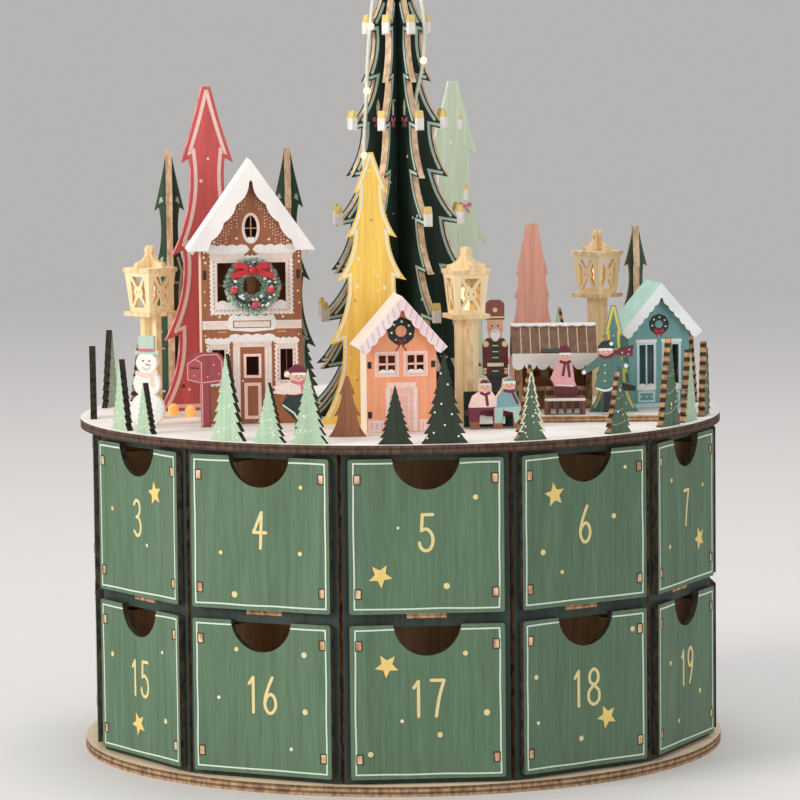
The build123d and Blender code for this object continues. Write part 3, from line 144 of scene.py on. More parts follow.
class ShaderGroups:
    """The shader node groups that several materials share, each built once."""

    def __init__(self) -> None:
        """Build the four groups."""
        self.grain = self._timber_grain()
        self.scorch = self._scorched_edge()
        self.mottle = self._paint_mottle()
        self.snow = self._snow_speckle()

    @staticmethod
    def _start(name: str, inputs: Sequence[tuple[str, str]], outputs: Sequence[tuple[str, str]]
               ) -> tuple[Tree, bpy.types.Node, bpy.types.Node]:
        """Make an empty group with its sockets.

        Args:
            name: the group's name.
            inputs: socket names and kinds that go in.
            outputs: socket names and kinds that come out.
        Returns:
            The tree, its input node and its output node.
        """
        tree = bpy.data.node_groups.new(name, "ShaderNodeTree")
        for label, kind in inputs:
            tree.interface.new_socket(label, in_out="INPUT", socket_type=kind)
        for label, kind in outputs:
            tree.interface.new_socket(label, in_out="OUTPUT", socket_type=kind)
        return tree, tree.nodes.new("NodeGroupInput"), tree.nodes.new("NodeGroupOutput")

    @staticmethod
    def _noise(tree: Tree, vector: Socket, scale: float, detail: float, distortion: float = 0.0) -> Socket:
        """Add a noise texture.

        Args:
            tree: the group's tree.
            vector: socket that gives the place.
            scale: features per metre.
            detail: octaves.
            distortion: how far the pattern is bent.
        Returns:
            The noise's value socket.
        """
        node = tree.nodes.new("ShaderNodeTexNoise")
        node.inputs["Scale"].default_value = scale
        node.inputs["Detail"].default_value = detail
        node.inputs["Distortion"].default_value = distortion
        tree.links.new(vector, node.inputs["Vector"])
        return node.outputs[0]

    @staticmethod
    def _spread(tree: Tree, value: Socket, low: float, high: float, to_low: float = 0.0,
                to_high: float = 1.0) -> Socket:
        """Stretch a value's range.

        Args:
            tree: the group's tree.
            value: socket to stretch.
            low: value that becomes to_low.
            high: value that becomes to_high.
            to_low: lowest result.
            to_high: highest result.
        Returns:
            The stretched socket.
        """
        node = tree.nodes.new("ShaderNodeMapRange")
        for label, number in (("From Min", low), ("From Max", high), ("To Min", to_low), ("To Max", to_high)):
            node.inputs[label].default_value = number
        tree.links.new(value, node.inputs["Value"])
        return node.outputs[0]

    @staticmethod
    def _math(tree: Tree, operation: str, first: Socket | float, second: Socket | float) -> Socket:
        """Add a math node.

        Args:
            tree: the group's tree.
            operation: Blender's name of the operation.
            first: socket or number.
            second: socket or number.
        Returns:
            The result's socket.
        """
        node = tree.nodes.new("ShaderNodeMath")
        node.operation = operation
        for socket, value in zip(node.inputs, (first, second)):
            if isinstance(value, (int, float)):
                socket.default_value = value
            else:
                tree.links.new(value, socket)
        return node.outputs[0]

    @staticmethod
    def _blend(tree: Tree, factor: Socket, first: Socket, second: Socket) -> Socket:
        """Mix two colours.

        Args:
            tree: the group's tree.
            factor: socket from 0 to 1.
            first: colour socket at 0.
            second: colour socket at 1.
        Returns:
            The mixed colour's socket.
        """
        node = tree.nodes.new("ShaderNodeMix")
        node.data_type = "RGBA"
        tree.links.new(factor, node.inputs[0])
        tree.links.new(first, node.inputs[6])
        tree.links.new(second, node.inputs[7])
        return node.outputs[2]

    def _timber_grain(self) -> Tree:
        """Streaks and pores drawn out along the grain; returns the group."""
        tree, start, end = self._start(
            "timber_grain",
            [("Vector", "NodeSocketVector"), ("Deep", "NodeSocketColor"), ("Pale", "NodeSocketColor")],
            [("Colour", "NodeSocketColor"), ("Height", "NodeSocketFloat"), ("Roughness", "NodeSocketFloat")])
        place = start.outputs["Vector"]
        broad = self._noise(tree, place, 170.0, 3.0, 1.4)
        fine = self._noise(tree, place, 1150.0, 3.0, 0.2)
        figure = self._math(tree, "MULTIPLY", broad, 0.55)
        pores = self._math(tree, "MULTIPLY", fine, 0.45)
        streak = self._spread(tree, self._math(tree, "ADD", figure, pores), 0.34, 0.66)
        tree.links.new(self._blend(tree, streak, start.outputs["Deep"], start.outputs["Pale"]),
                       end.inputs["Colour"])
        tree.links.new(streak, end.inputs["Height"])
        tree.links.new(self._spread(tree, streak, 0, 1, 0.72, 0.56), end.inputs["Roughness"])
        return tree

    def _scorched_edge(self) -> Tree:
        """A laser-cut plywood edge: charred, with paler plies where Layers is one; returns the group."""
        tree, start, end = self._start(
            "scorched_edge",
            [("Vector", "NodeSocketVector"), ("Char", "NodeSocketColor"), ("Tan", "NodeSocketColor"),
             ("Ply Height", "NodeSocketFloat"), ("Layers", "NodeSocketFloat")],
            [("Colour", "NodeSocketColor"), ("Height", "NodeSocketFloat")])
        place = start.outputs["Vector"]
        streaks = tree.nodes.new("ShaderNodeMapping")
        streaks.inputs["Scale"].default_value = (1.0, 1.0, 0.5)
        tree.links.new(place, streaks.inputs["Vector"])
        smoke = self._spread(tree, self._noise(tree, streaks.outputs[0], 420.0, 4.0, 0.3), 0.36, 0.64)
        parts = tree.nodes.new("ShaderNodeSeparateXYZ")
        tree.links.new(place, parts.inputs[0])
        turns = self._math(tree, "DIVIDE", parts.outputs["Z"], start.outputs["Ply Height"])
        wave = self._math(tree, "SINE", self._math(tree, "MULTIPLY", turns, 2 * math.pi), 0.0)
        plies = self._spread(tree, wave, -0.5, 0.5)
        layered = self._math(tree, "MULTIPLY", plies, self._spread(tree, smoke, 0, 1, 0.45, 1.0))
        pale = tree.nodes.new("ShaderNodeMix")
        tree.links.new(start.outputs["Layers"], pale.inputs[0])
        tree.links.new(smoke, pale.inputs[2])
        tree.links.new(layered, pale.inputs[3])
        tree.links.new(self._blend(tree, pale.outputs[0], start.outputs["Char"], start.outputs["Tan"]),
                       end.inputs["Colour"])
        tree.links.new(pale.outputs[0], end.inputs["Height"])
        return tree

    def _paint_mottle(self) -> Tree:
        """The slight cloudiness of a printed or brushed colour; returns the group."""
        tree, start, end = self._start(
            "paint_mottle",
            [("Vector", "NodeSocketVector"), ("Thin", "NodeSocketColor"), ("Full", "NodeSocketColor")],
            [("Colour", "NodeSocketColor"), ("Height", "NodeSocketFloat")])
        cloud = self._spread(tree, self._noise(tree, start.outputs["Vector"], 900.0, 3.0), 0.3, 0.6)
        tree.links.new(self._blend(tree, cloud, start.outputs["Thin"], start.outputs["Full"]),
                       end.inputs["Colour"])
        tree.links.new(cloud, end.inputs["Height"])
        return tree

    def _snow_speckle(self) -> Tree:
        """White paint with a fine crust and a few warmer patches; returns the group."""
        tree, start, end = self._start(
            "snow_speckle",
            [("Vector", "NodeSocketVector"), ("Shadow", "NodeSocketColor"), ("Snow", "NodeSocketColor")],
            [("Colour", "NodeSocketColor"), ("Height", "NodeSocketFloat"), ("Roughness", "NodeSocketFloat")])
        place = start.outputs["Vector"]
        patch = self._spread(tree, self._noise(tree, place, 45.0, 4.0), 0.32, 0.56)
        crust = self._noise(tree, place, 2600.0, 2.0)
        tree.links.new(self._blend(tree, patch, start.outputs["Shadow"], start.outputs["Snow"]),
                       end.inputs["Colour"])
        tree.links.new(crust, end.inputs["Height"])
        tree.links.new(self._spread(tree, crust, 0.3, 0.7, 0.62, 0.8), end.inputs["Roughness"])
        return tree


class Paintbox:
    """Makes and keeps the materials."""

    def __init__(self) -> None:
        """Start with the shared groups and no materials."""
        self.groups = ShaderGroups()
        self.made: dict[str, bpy.types.Material] = {}

    def start(self, name: str) -> tuple[Tree, bpy.types.Node]:
        """Make a material with its shader.

        Args:
            name: the material's name.
        Returns:
            Its tree and its Principled shader.
        """
        material = bpy.data.materials.new(name)
        material.use_nodes = True
        self.made[name] = material
        return material.node_tree, material.node_tree.nodes["Principled BSDF"]

    @staticmethod
    def place(tree: Tree, scale: tuple[float, float, float] = (1.0, 1.0, 1.0)) -> Socket:
        """The object's own coordinates, drawn out along the grain.

        Args:
            tree: the material's tree.
            scale: stretch along x, y and z.
        Returns:
            The place socket.
        """
        coordinates = tree.nodes.new("ShaderNodeTexCoord")
        mapping = tree.nodes.new("ShaderNodeMapping")
        mapping.inputs["Scale"].default_value = scale
        tree.links.new(coordinates.outputs["Object"], mapping.inputs["Vector"])
        return mapping.outputs[0]

    @staticmethod
    def group(tree: Tree, group: Tree, place: Socket, **values: float | tuple) -> bpy.types.Node:
        """Place a shared group in a material.

        Args:
            tree: the material's tree.
            group: the shared group.
            place: the place socket.
            values: the group's other inputs.
        Returns:
            The group's node.
        """
        node = tree.nodes.new("ShaderNodeGroup")
        node.node_tree = group
        tree.links.new(place, node.inputs["Vector"])
        for label, value in values.items():
            node.inputs[label.replace("_", " ")].default_value = value
        return node

    @staticmethod
    def bump(tree: Tree, shader: bpy.types.Node, height: Socket, strength: float) -> None:
        """Raise a surface by a height.

        Args:
            tree: the material's tree.
            shader: the Principled shader.
            height: height socket.
            strength: how strongly it shows.
        """
        node = tree.nodes.new("ShaderNodeBump")
        node.inputs["Strength"].default_value = strength
        node.inputs["Distance"].default_value = 0.0003
        tree.links.new(height, node.inputs["Height"])
        tree.links.new(node.outputs["Normal"], shader.inputs["Normal"])


PAINTS = Paintbox()


@dataclass(frozen=True)
class Finish:
    """A finish, whose material is made once."""

    name: str

    def material(self) -> bpy.types.Material:
        """The finish as a material."""
        if self.name not in PAINTS.made:
            self.wire(*PAINTS.start(self.name))
        return PAINTS.made[self.name]

    def wire(self, tree: Tree, shader: bpy.types.Node) -> None:
        """Connect the material's nodes, each kind of finish in its own way.

        Args:
            tree: the material's tree.
            shader: its Principled shader.
        """
        raise NotImplementedError


@dataclass(frozen=True)
class BoardPaint(Finish):
    """Paint or oil thin enough for the board's grain to show."""

    colour: Rgb
    contrast: float = 0.16
    grain: Grain = Grain.UPRIGHT
    relief: float = 0.12

    def wire(self, tree: Tree, shader: bpy.types.Node) -> None:
        """Colour, roughness and relief follow the grain.

        Args:
            tree: the material's tree.
            shader: its Principled shader.
        """
        place = PAINTS.place(tree, self.grain.value)
        node = PAINTS.group(tree, PAINTS.groups.grain, place,
                            Deep=linear(shade(self.colour, 1 - self.contrast)),
                            Pale=linear(shade(self.colour, 1 + self.contrast * 0.6)))
        tree.links.new(node.outputs["Colour"], shader.inputs["Base Color"])
        tree.links.new(node.outputs["Roughness"], shader.inputs["Roughness"])
        PAINTS.bump(tree, shader, node.outputs["Height"], self.relief)


@dataclass(frozen=True)
class BurntEdge(Finish):
    """A laser-cut plywood edge."""

    char: Rgb = (44, 28, 20)
    tan: Rgb = (122, 84, 56)
    ply_height: float = 1.5
    layers: float = 0.0

    def wire(self, tree: Tree, shader: bpy.types.Node) -> None:
        """Char and plies of the cut.

        Args:
            tree: the material's tree.
            shader: its Principled shader.
        """
        node = PAINTS.group(tree, PAINTS.groups.scorch, PAINTS.place(tree), Char=linear(self.char),
                            Tan=linear(self.tan), Ply_Height=self.ply_height * MM, Layers=self.layers)
        tree.links.new(node.outputs["Colour"], shader.inputs["Base Color"])
        shader.inputs["Roughness"].default_value = 0.82
        PAINTS.bump(tree, shader, node.outputs["Height"], 0.2)


@dataclass(frozen=True)
class SnowPaint(Finish):
    """Thick white paint with a crust."""

    colour: Rgb = (248, 243, 237)
    shadow: Rgb = (239, 231, 222)

    def wire(self, tree: Tree, shader: bpy.types.Node) -> None:
        """Patches of colour and a fine crust.

        Args:
            tree: the material's tree.
            shader: its Principled shader.
        """
        node = PAINTS.group(tree, PAINTS.groups.snow, PAINTS.place(tree), Shadow=linear(self.shadow),
                            Snow=linear(self.colour))
        tree.links.new(node.outputs["Colour"], shader.inputs["Base Color"])
        tree.links.new(node.outputs["Roughness"], shader.inputs["Roughness"])
        PAINTS.bump(tree, shader, node.outputs["Height"], 0.25)


@dataclass(frozen=True)
class SolidColour(Finish):
    """An ink, a plastic, a metal or a glowing bulb with a slight cloudiness."""

    colour: Rgb
    cloud: float = 0.06
    roughness: float = 0.6
    metallic: float = 0.0
    glow: float = 0.0

    def wire(self, tree: Tree, shader: bpy.types.Node) -> None:
        """A cloudy colour, with its glow.

        Args:
            tree: the material's tree.
            shader: its Principled shader.
        """
        node = PAINTS.group(tree, PAINTS.groups.mottle, PAINTS.place(tree),
                            Thin=linear(shade(self.colour, 1 - self.cloud)), Full=linear(self.colour))
        tree.links.new(node.outputs["Colour"], shader.inputs["Base Color"])
        shader.inputs["Roughness"].default_value = self.roughness
        shader.inputs["Metallic"].default_value = self.metallic
        if self.glow:
            tree.links.new(node.outputs["Colour"], shader.inputs["Emission Color"])
            shader.inputs["Emission Strength"].default_value = self.glow
        PAINTS.bump(tree, shader, node.outputs["Height"], 0.04)


@dataclass(frozen=True)
class BandPaint(Finish):
    """A figure's clothes as bands of colour from its foot up."""

    foot: float
    height: float
    bands: tuple[tuple[float, Rgb], ...]

    def wire(self, tree: Tree, shader: bpy.types.Node) -> None:
        """Bands by height, made slightly cloudy.

        Args:
            tree: the material's tree.
            shader: its Principled shader.
        """
        place = PAINTS.place(tree)
        parts = tree.nodes.new("ShaderNodeSeparateXYZ")
        tree.links.new(place, parts.inputs[0])
        span = tree.nodes.new("ShaderNodeMapRange")
        span.inputs["From Min"].default_value = self.foot * MM
        span.inputs["From Max"].default_value = (self.foot + self.height) * MM
        tree.links.new(parts.outputs["Z"], span.inputs["Value"])
        ramp = tree.nodes.new("ShaderNodeValToRGB")
        ramp.color_ramp.interpolation = "CONSTANT"
        stops = ramp.color_ramp.elements
        while len(stops) < len(self.bands):
            stops.new(0.5)
        for stop, (share, colour) in zip(stops, sorted(self.bands)):
            stop.position = share
            stop.color = linear(colour)
        tree.links.new(span.outputs[0], ramp.inputs[0])
        node = PAINTS.group(tree, PAINTS.groups.mottle, place, Thin=linear((238, 238, 238)),
                            Full=linear((255, 255, 255)))
        mix = tree.nodes.new("ShaderNodeMix")
        mix.data_type = "RGBA"
        mix.blend_type = "MULTIPLY"
        mix.inputs[0].default_value = 1.0
        tree.links.new(ramp.outputs[0], mix.inputs[6])
        tree.links.new(node.outputs["Colour"], mix.inputs[7])
        tree.links.new(mix.outputs[2], shader.inputs["Base Color"])
        shader.inputs["Roughness"].default_value = 0.62
        PAINTS.bump(tree, shader, node.outputs["Height"], 0.05)


def ink(colour: Ink) -> bpy.types.Material:
    """The material of an ink."""
    return SolidColour("ink_" + colour.name.lower(), colour.value).material()


BARE_WOOD = BoardPaint("bare_plywood", (222, 188, 142), 0.12)
FLAT_WOOD = BoardPaint("bare_plate", (222, 188, 142), 0.12, Grain.ACROSS)
BOARD_EDGE = BurntEdge("board_edge")
PALE_EDGE = BurntEdge("pale_edge", (104, 68, 44), (214, 174, 126))


EDGE_WIDTH = 3.3
SAME_PLANE = 0.9996
WELD_STEPS = 2e5


@dataclass
class FlatFace:
    """One flat face of a CAD mesh, with its outline."""

    polygons: list[int]
    out: Vector
    centre: Vector
    area: float
    reach: float
    loops: list[list[Vector]]

    @property
    def is_edge(self) -> bool:
        """True where the face is no wider than a board's thickness."""
        return self.area / max(self.reach, 1e-9) < EDGE_WIDTH * MM

    def outline(self) -> list[Vector]:
        """The longest loop around the face."""
        def length(loop: list[Vector]) -> float:
            """The length round a loop."""
            return sum((a - b).length for a, b in zip(loop, loop[1:] + loop[:1]))

        return max(self.loops, key=length)


class BoardMesh:
    """A CAD node's mesh, divided into its flat faces."""

    def __init__(self, node: str) -> None:
        """Read a node of the frame.

        Args:
            node: the CAD node's name.
        """
        self.name = node
        self.mesh: bpy.types.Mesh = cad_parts[node].data
        self.faces: list[FlatFace] = self._walk()

    def _walk(self) -> list[FlatFace]:
        """Join neighbouring polygons of one plane; returns the flat faces."""
        mesh = self.mesh
        ids: dict[tuple[int, int, int], int] = {}
        spots = []
        for vertex in mesh.vertices:
            key = tuple(round(c * WELD_STEPS) for c in vertex.co)
            spots.append(ids.setdefault(key, len(ids)))
        where = {spots[i]: vertex.co for i, vertex in enumerate(mesh.vertices)}
        rings = [[spots[v] for v in polygon.vertices] for polygon in mesh.polygons]
        users = defaultdict(list)
        for index, ring in enumerate(rings):
            for a, b in zip(ring, ring[1:] + ring[:1]):
                users[frozenset((a, b))].append(index)
        normals = [polygon.normal.copy() for polygon in mesh.polygons]
        taken = [False] * len(rings)
        found = []
        for seed in range(len(rings)):
            if taken[seed]:
                continue
            taken[seed] = True
            members, waiting = [], [seed]
            while waiting:
                index = waiting.pop()
                members.append(index)
                ring = rings[index]
                for a, b in zip(ring, ring[1:] + ring[:1]):
                    for other in users[frozenset((a, b))]:
                        if not taken[other] and normals[other].dot(normals[seed]) > SAME_PLANE:
                            taken[other] = True
                            waiting.append(other)
            found.append(self._face(members, rings, where, normals[seed]))
        return found

    def _face(self, members: list[int], rings: list[list[int]], where: dict[int, Vector],
              out: Vector) -> FlatFace:
        """Measure one flat face.

        Args:
            members: its polygons.
            rings: every polygon's corner numbers.
            where: corner number to place.
            out: its normal.
        Returns:
            The measured face.
        """
        sides = defaultdict(int)
        for index in members:
            ring = rings[index]
            for a, b in zip(ring, ring[1:] + ring[:1]):
                sides[(a, b)] += 1
        border = {a: b for (a, b) in sides if (b, a) not in sides}
        loops = []
        while border:
            first, step = border.popitem()
            loop = [first]
            while step in border:
                loop.append(step)
                step = border.pop(step)
            loops.append([where[i] for i in loop])
        polygons = self.mesh.polygons
        area = sum(polygons[i].area for i in members)
        centre = sum((polygons[i].center * polygons[i].area for i in members), Vector()) / max(area, 1e-12)
        corners = [point for loop in loops for point in loop] or [centre]
        low = Vector([min(c[k] for c in corners) for k in range(3)])
        high = Vector([max(c[k] for c in corners) for k in range(3)])
        return FlatFace(members, out, centre, area, (high - low).length, loops)

    def paint(self, choose: Callable[[FlatFace], bpy.types.Material]) -> None:
        """Give each flat face its material.

        Args:
            choose: gives the material of a face.
        """
        slots: dict[str, int] = {}
        self.mesh.materials.clear()
        for face in self.faces:
            material = choose(face)
            if material.name not in slots:
                slots[material.name] = len(slots)
                self.mesh.materials.append(material)
            for index in face.polygons:
                self.mesh.polygons[index].material_index = slots[material.name]

    def paint_boards(self, paint: Finish, edge: Finish = BOARD_EDGE) -> None:
        """Give broad faces a paint and narrow ones a cut edge.

        Args:
            paint: finish of the faces.
            edge: finish of the edges.
        """
        self.paint(lambda face: edge.material() if face.is_edge else paint.material())


@dataclass
class Seat:
    """A spot on a board's face with the face's own directions; x to the right, y up, in millimetres."""

    origin: Vector
    right: Vector
    up: Vector
    out: Vector

    @classmethod
    def on(cls, face: FlatFace) -> "Seat":
        """The seat at a face's middle.

        Args:
            face: the flat face.
        Returns:
            The seat, with up as steep as the face allows.
        """
        up = Vector((0, 0, 1)) - face.out * face.out.z
        up = up.normalized() if up.length > 0.05 else Vector((0, 1, 0))
        return cls(face.centre.copy(), up.cross(face.out).normalized(), up, face.out.copy())

    def at(self, x: float, y: float, lift: float = 0.0) -> Vector:
        """The place of a point of the face, in metres."""
        return self.origin + (self.right * x + self.up * y + self.out * lift) * MM

    def flat(self, place: Vector) -> Point:
        """A place as a point of the face, in millimetres."""
        offset = (place - self.origin) / MM
        return offset.dot(self.right), offset.dot(self.up)


# How far from a place the middle of its board's face may be, to the side and in front
NEAR_SIDE = 9.0
NEAR_FRONT = 12.0


@dataclass(frozen=True)
class Place:
    """Where something stands on the deck: azimuth, share of the deck's radius, azimuth that it faces."""

    azimuth: float
    share: float
    facing: float
    lift: float = 0.0

    def seat(self, turn: float = 0.0) -> Seat:
        """The upright plane through the place.

        Args:
            turn: degrees added to the facing.
        Returns:
            The seat at the deck's top.
        """
        angle, face = math.radians(self.azimuth), math.radians(self.facing + turn)
        distance = self.share * DECK_RADIUS
        origin = Vector((distance * math.sin(angle), -distance * math.cos(angle), DECK_TOP + self.lift)) * MM
        return Seat(origin, Vector((math.cos(face), math.sin(face), 0)), Vector((0, 0, 1)),
                    Vector((math.sin(face), -math.cos(face), 0)))

    def front(self, board: BoardMesh, turn: float = 0.0) -> Seat:
        """The seat moved forward onto the face of the board that stands there.

        Args:
            board: the node's mesh.
            turn: degrees added to the facing.
        Returns:
            The seat on the foremost broad face.
        """
        seat = self.seat(turn)
        best = 0.0
        for face in board.faces:
            offset = (face.centre - seat.origin) / MM
            beside = abs(offset.dot(seat.right)) < NEAR_SIDE
            if face.out.dot(seat.out) > 0.995 and not face.is_edge and beside:
                depth = offset.dot(seat.out)
                if abs(depth) < NEAR_FRONT and depth > best:
                    best = depth
        return Seat(seat.origin + seat.out * best * MM, seat.right, seat.up, seat.out)


PLACES = {
    "great_tree": Place(0, 0, 0), "red_tree": Place(-105.6, 0.613, 10),
    "yellow_tree": Place(-16.8, 0.382, -2), "mint_tree": Place(158.0, 0.595, 10),
    "coral_tree": Place(132.9, 0.636, 0),
    "left_pine": Place(-114.4, 0.776, 0), "house_pine": Place(-134.7, 0.463, 0),
    "right_pine": Place(113.3, 0.861, 0), "teal_tree": Place(63.3, 0.71, -6, PLATFORM_PLY),
    "brown_tree": Place(-16.3, 0.755, -5), "brown_house": Place(-57.8, 0.559, 1),
    "peach_house": Place(-3.9, 0.627, 4), "teal_house": Place(73.7, 0.82, 8, PLATFORM_PLY),
    "stall": Place(73.8, 0.488, -4, PLATFORM_PLY), "nutcracker": Place(56.2, 0.34, -4),
    "right_skater": Place(57.2, 0.725, -4, PLATFORM_PLY), "sled": Place(50.4, 0.617, -4, PLATFORM_PLY),
    "bench": Place(23.0, 0.615, 2), "left_skater": Place(-34.9, 0.63, -6),
    "snowman": Place(-70.5, 0.842, -20), "mailbox": Place(-58.9, 0.723, -10)}


def smooth(points: Sequence[Point], steps: int = 6, closed: bool = False) -> list[Point]:
    """A curve through points.

    Args:
        points: the points, in millimetres.
        steps: pieces between two points.
        closed: whether the curve returns to its start.
    Returns:
        The curve's points.
    """
    count = len(points)
    result = []
    for index in range(count if closed else count - 1):
        picks = [index - 1, index, index + 1, index + 2]
        picks = [p % count for p in picks] if closed else [max(0, min(count - 1, p)) for p in picks]
        a, b, c, d = [Vector(points[p]) for p in picks]
        for step in range(steps):
            t = step / steps
            spot = 0.5 * ((2 * b) + (c - a) * t + (2 * a - 5 * b + 4 * c - d) * t * t
                          + (3 * b - a - 3 * c + d) * t ** 3)
            result.append((spot.x, spot.y))
    return result if closed else result + [tuple(points[-1])]


def area_of(points: Sequence[Point]) -> float:
    """Signed area of an outline."""
    return sum(a[0] * b[1] - b[0] * a[1] for a, b in zip(points, list(points[1:]) + list(points[:1]))) / 2


def edge_distance(point: Point, loop: Sequence[Point]) -> float:
    """Distance from a point to an outline.

    Args:
        point: the point.
        loop: the outline.
    Returns:
        The shortest distance to any of its sides.
    """
    best = 1e9
    px, py = point
    for (ax, ay), (bx, by) in zip(loop, list(loop[1:]) + list(loop[:1])):
        dx, dy = bx - ax, by - ay
        length = dx * dx + dy * dy
        t = 0.0 if length < 1e-12 else max(0.0, min(1.0, ((px - ax) * dx + (py - ay) * dy) / length))
        best = min(best, math.hypot(ax + t * dx - px, ay + t * dy - py))
    return best


def inside(point: Point, loop: Sequence[Point]) -> bool:
    """Whether a point is inside an outline.

    Args:
        point: the point.
        loop: the outline.
    Returns:
        True inside it.
    """
    px, py = point
    hit = False
    for (ax, ay), (bx, by) in zip(loop, list(loop[1:]) + list(loop[:1])):
        if (ay > py) != (by > py) and px < (bx - ax) * (py - ay) / (by - ay) + ax:
            hit = not hit
    return hit


def inset(loop: Sequence[Point], distance: float) -> list[Optional[Point]]:
    """An outline moved inwards.

    Args:
        loop: the outline, anticlockwise.
        distance: how far, in millimetres.
    Returns:
        A point for each corner, or None where the outline is too narrow for it.
    """
    count = len(loop)
    moved: list[Optional[Point]] = []
    for index in range(count):
        before, here, after = [Vector(loop[(index + k) % count]) for k in (-1, 0, 1)]
        first, second = here - before, after - here
        if first.length < 1e-6 or second.length < 1e-6:
            moved.append(None)
            continue
        first.normalize()
        second.normalize()
        normal = Vector((-first.y - second.y, first.x + second.x))
        if normal.length < 0.2:
            moved.append(None)
            continue
        normal.normalize()
        reach = distance / max(0.3, normal.dot(Vector((-first.y, first.x))))
        spot = (here.x + normal.x * reach, here.y + normal.y * reach)
        fits = inside(spot, loop) and edge_distance(spot, loop) > 0.85 * distance
        moved.append(spot if fits else None)
    return moved


class Print:
    """Printed or glued-on decoration of one board, collected into one mesh."""

    BASE, STEP, HAIR = 0.10, 0.06, 0.011

    def __init__(self, name: str, body: str, slot: str) -> None:
        """Start an empty print.

        Args:
            name: the piece's name.
            body: the CAD body it moves with.
            slot: the record's material slot; not used.
        """
        self.name, self.body, self.slot = name, body, slot
        self.mesh = bmesh.new()
        self.inks: list[Ink] = []
        self.shapes = 0

    def _top(self, layer: int, lift: float) -> float:
        """The height of the next shape, a hair's breadth off its neighbours so that none coincide.

        Args:
            layer: inks that it lies over.
            lift: extra thickness in millimetres.
        Returns:
            The height above the board in millimetres.
        """
        self.shapes += 1
        return self.BASE + self.STEP * layer + lift + self.HAIR * (self.shapes % 5)

    def _index(self, colour: Ink) -> int:
        """The number of an ink in this print.

        Args:
            colour: the ink, which joins the print's inks if it is new.
        Returns:
            Its place among them.
        """
        if colour not in self.inks:
            self.inks.append(colour)
        return self.inks.index(colour)

    def prism(self, seat: Seat, points: Sequence[Point], colour: Ink, layer: int = 0,
              lift: float = 0.0, sunk: float = 0.05) -> None:
        """A flat shape with its sides.

        Args:
            seat: the board's face.
            points: the outline in millimetres.
            colour: its ink.
            layer: inks that it lies over.
            lift: extra thickness in millimetres.
            sunk: how far its sides reach into the board.
        """
        if area_of(points) < 0:
            points = list(reversed(points))
        top = self._top(layer, lift)
        upper = [self.mesh.verts.new(seat.at(x, y, top)) for x, y in points]
        lower = [self.mesh.verts.new(seat.at(x, y, -sunk)) for x, y in points]
        faces = [self.mesh.faces.new(upper)]
        count = len(points)
        for k in range(count):
            n = (k + 1) % count
            faces.append(self.mesh.faces.new((lower[k], lower[n], upper[n], upper[k])))
        for face in faces:
            face.material_index = self._index(colour)

    def rectangle(self, seat: Seat, span: Span, colour: Ink, layer: int = 0, lift: float = 0.0,
                  sunk: float = 0.05) -> None:
        """A filled rectangle.

        Args:
            seat: the board's face.
            span: left, right, low and high in millimetres.
            colour: its ink.
            layer: inks that it lies over.
            lift: extra thickness in millimetres.
            sunk: how far its sides reach into the board.
        """
        left, right, low, high = span
        self.prism(seat, [(left, low), (right, low), (right, high), (left, high)], colour, layer, lift, sunk)

    def ribbon(self, seat: Seat, points: Sequence[Point], width: float, colour: Ink, layer: int = 0,
               closed: bool = False) -> None:
        """A line of even width with round ends.

        Args:
            seat: the board's face.
            points: the line in millimetres.
            width: its width in millimetres.
            colour: its ink.
            layer: inks that it lies over.
            closed: whether it returns to its start.
        """
        line = [Vector(p) for p in points]
        line = [p for k, p in enumerate(line) if k == 0 or (p - line[k - 1]).length > 1e-4]
        count = len(line)
        if count < 2:
            return
        left, right = [], []
        for k, here in enumerate(line):
            before = line[k - 1] if k or closed else None
            after = line[(k + 1) % count] if k + 1 < count or closed else None
            ways = [w.normalized() for w in ((here - before) if before else None,
                                             (after - here) if after else None) if w and w.length > 1e-9]
            way = sum(ways, Vector((0, 0)))
            way = way.normalized() if way.length > 1e-6 else ways[0]
            side = Vector((-way.y, way.x))
            reach = width / 2 / max(0.5, side.dot(Vector((-ways[0].y, ways[0].x))))
            left.append(here + side * reach)
            right.append(here - side * reach)
        top = self._top(layer, 0.0)
        index = self._index(colour)
        rise = self.HAIR / count
        high_left, high_right = [[self.mesh.verts.new(seat.at(p.x, p.y, top + rise * k))
                                  for k, p in enumerate(row)] for row in (left, right)]
        low_left, low_right = [[self.mesh.verts.new(seat.at(p.x, p.y, -0.05)) for p in row]
                               for row in (left, right)]
        for k in range(count if closed else count - 1):
            n = (k + 1) % count
            for quad in ((high_left[k], high_right[k], high_right[n], high_left[n]),
                         (high_left[n], low_left[n], low_left[k], high_left[k]),
                         (high_right[k], low_right[k], low_right[n], high_right[n])):
                self.mesh.faces.new(quad).material_index = index
        if not closed and width > 0.5:
            for end, other in ((0, 1), (count - 1, count - 2)):
                way = (line[end] - line[other]).normalized()
                side = Vector((-way.y, way.x))
                arc = [line[end] + (side * math.cos(a) + way * math.sin(a)) * width / 2
                       for a in [math.pi * k / 6 for k in range(7)]]
                self.prism(seat, [(p.x, p.y) for p in arc], colour, layer)

    def disc(self, seat: Seat, centre: Point, radius: float, colour: Ink, layer: int = 0) -> None:
        """A round spot.

        Args:
            seat: the board's face.
            centre: its middle in millimetres.
            radius: half its width.
            colour: its ink.
            layer: inks that it lies over.
        """
        sides = 10 if radius < 0.8 else 20
        turns = [2 * math.pi * k / sides for k in range(sides)]
        self.prism(seat, [(centre[0] + radius * math.cos(a), centre[1] + radius * math.sin(a))
                          for a in turns], colour, layer)

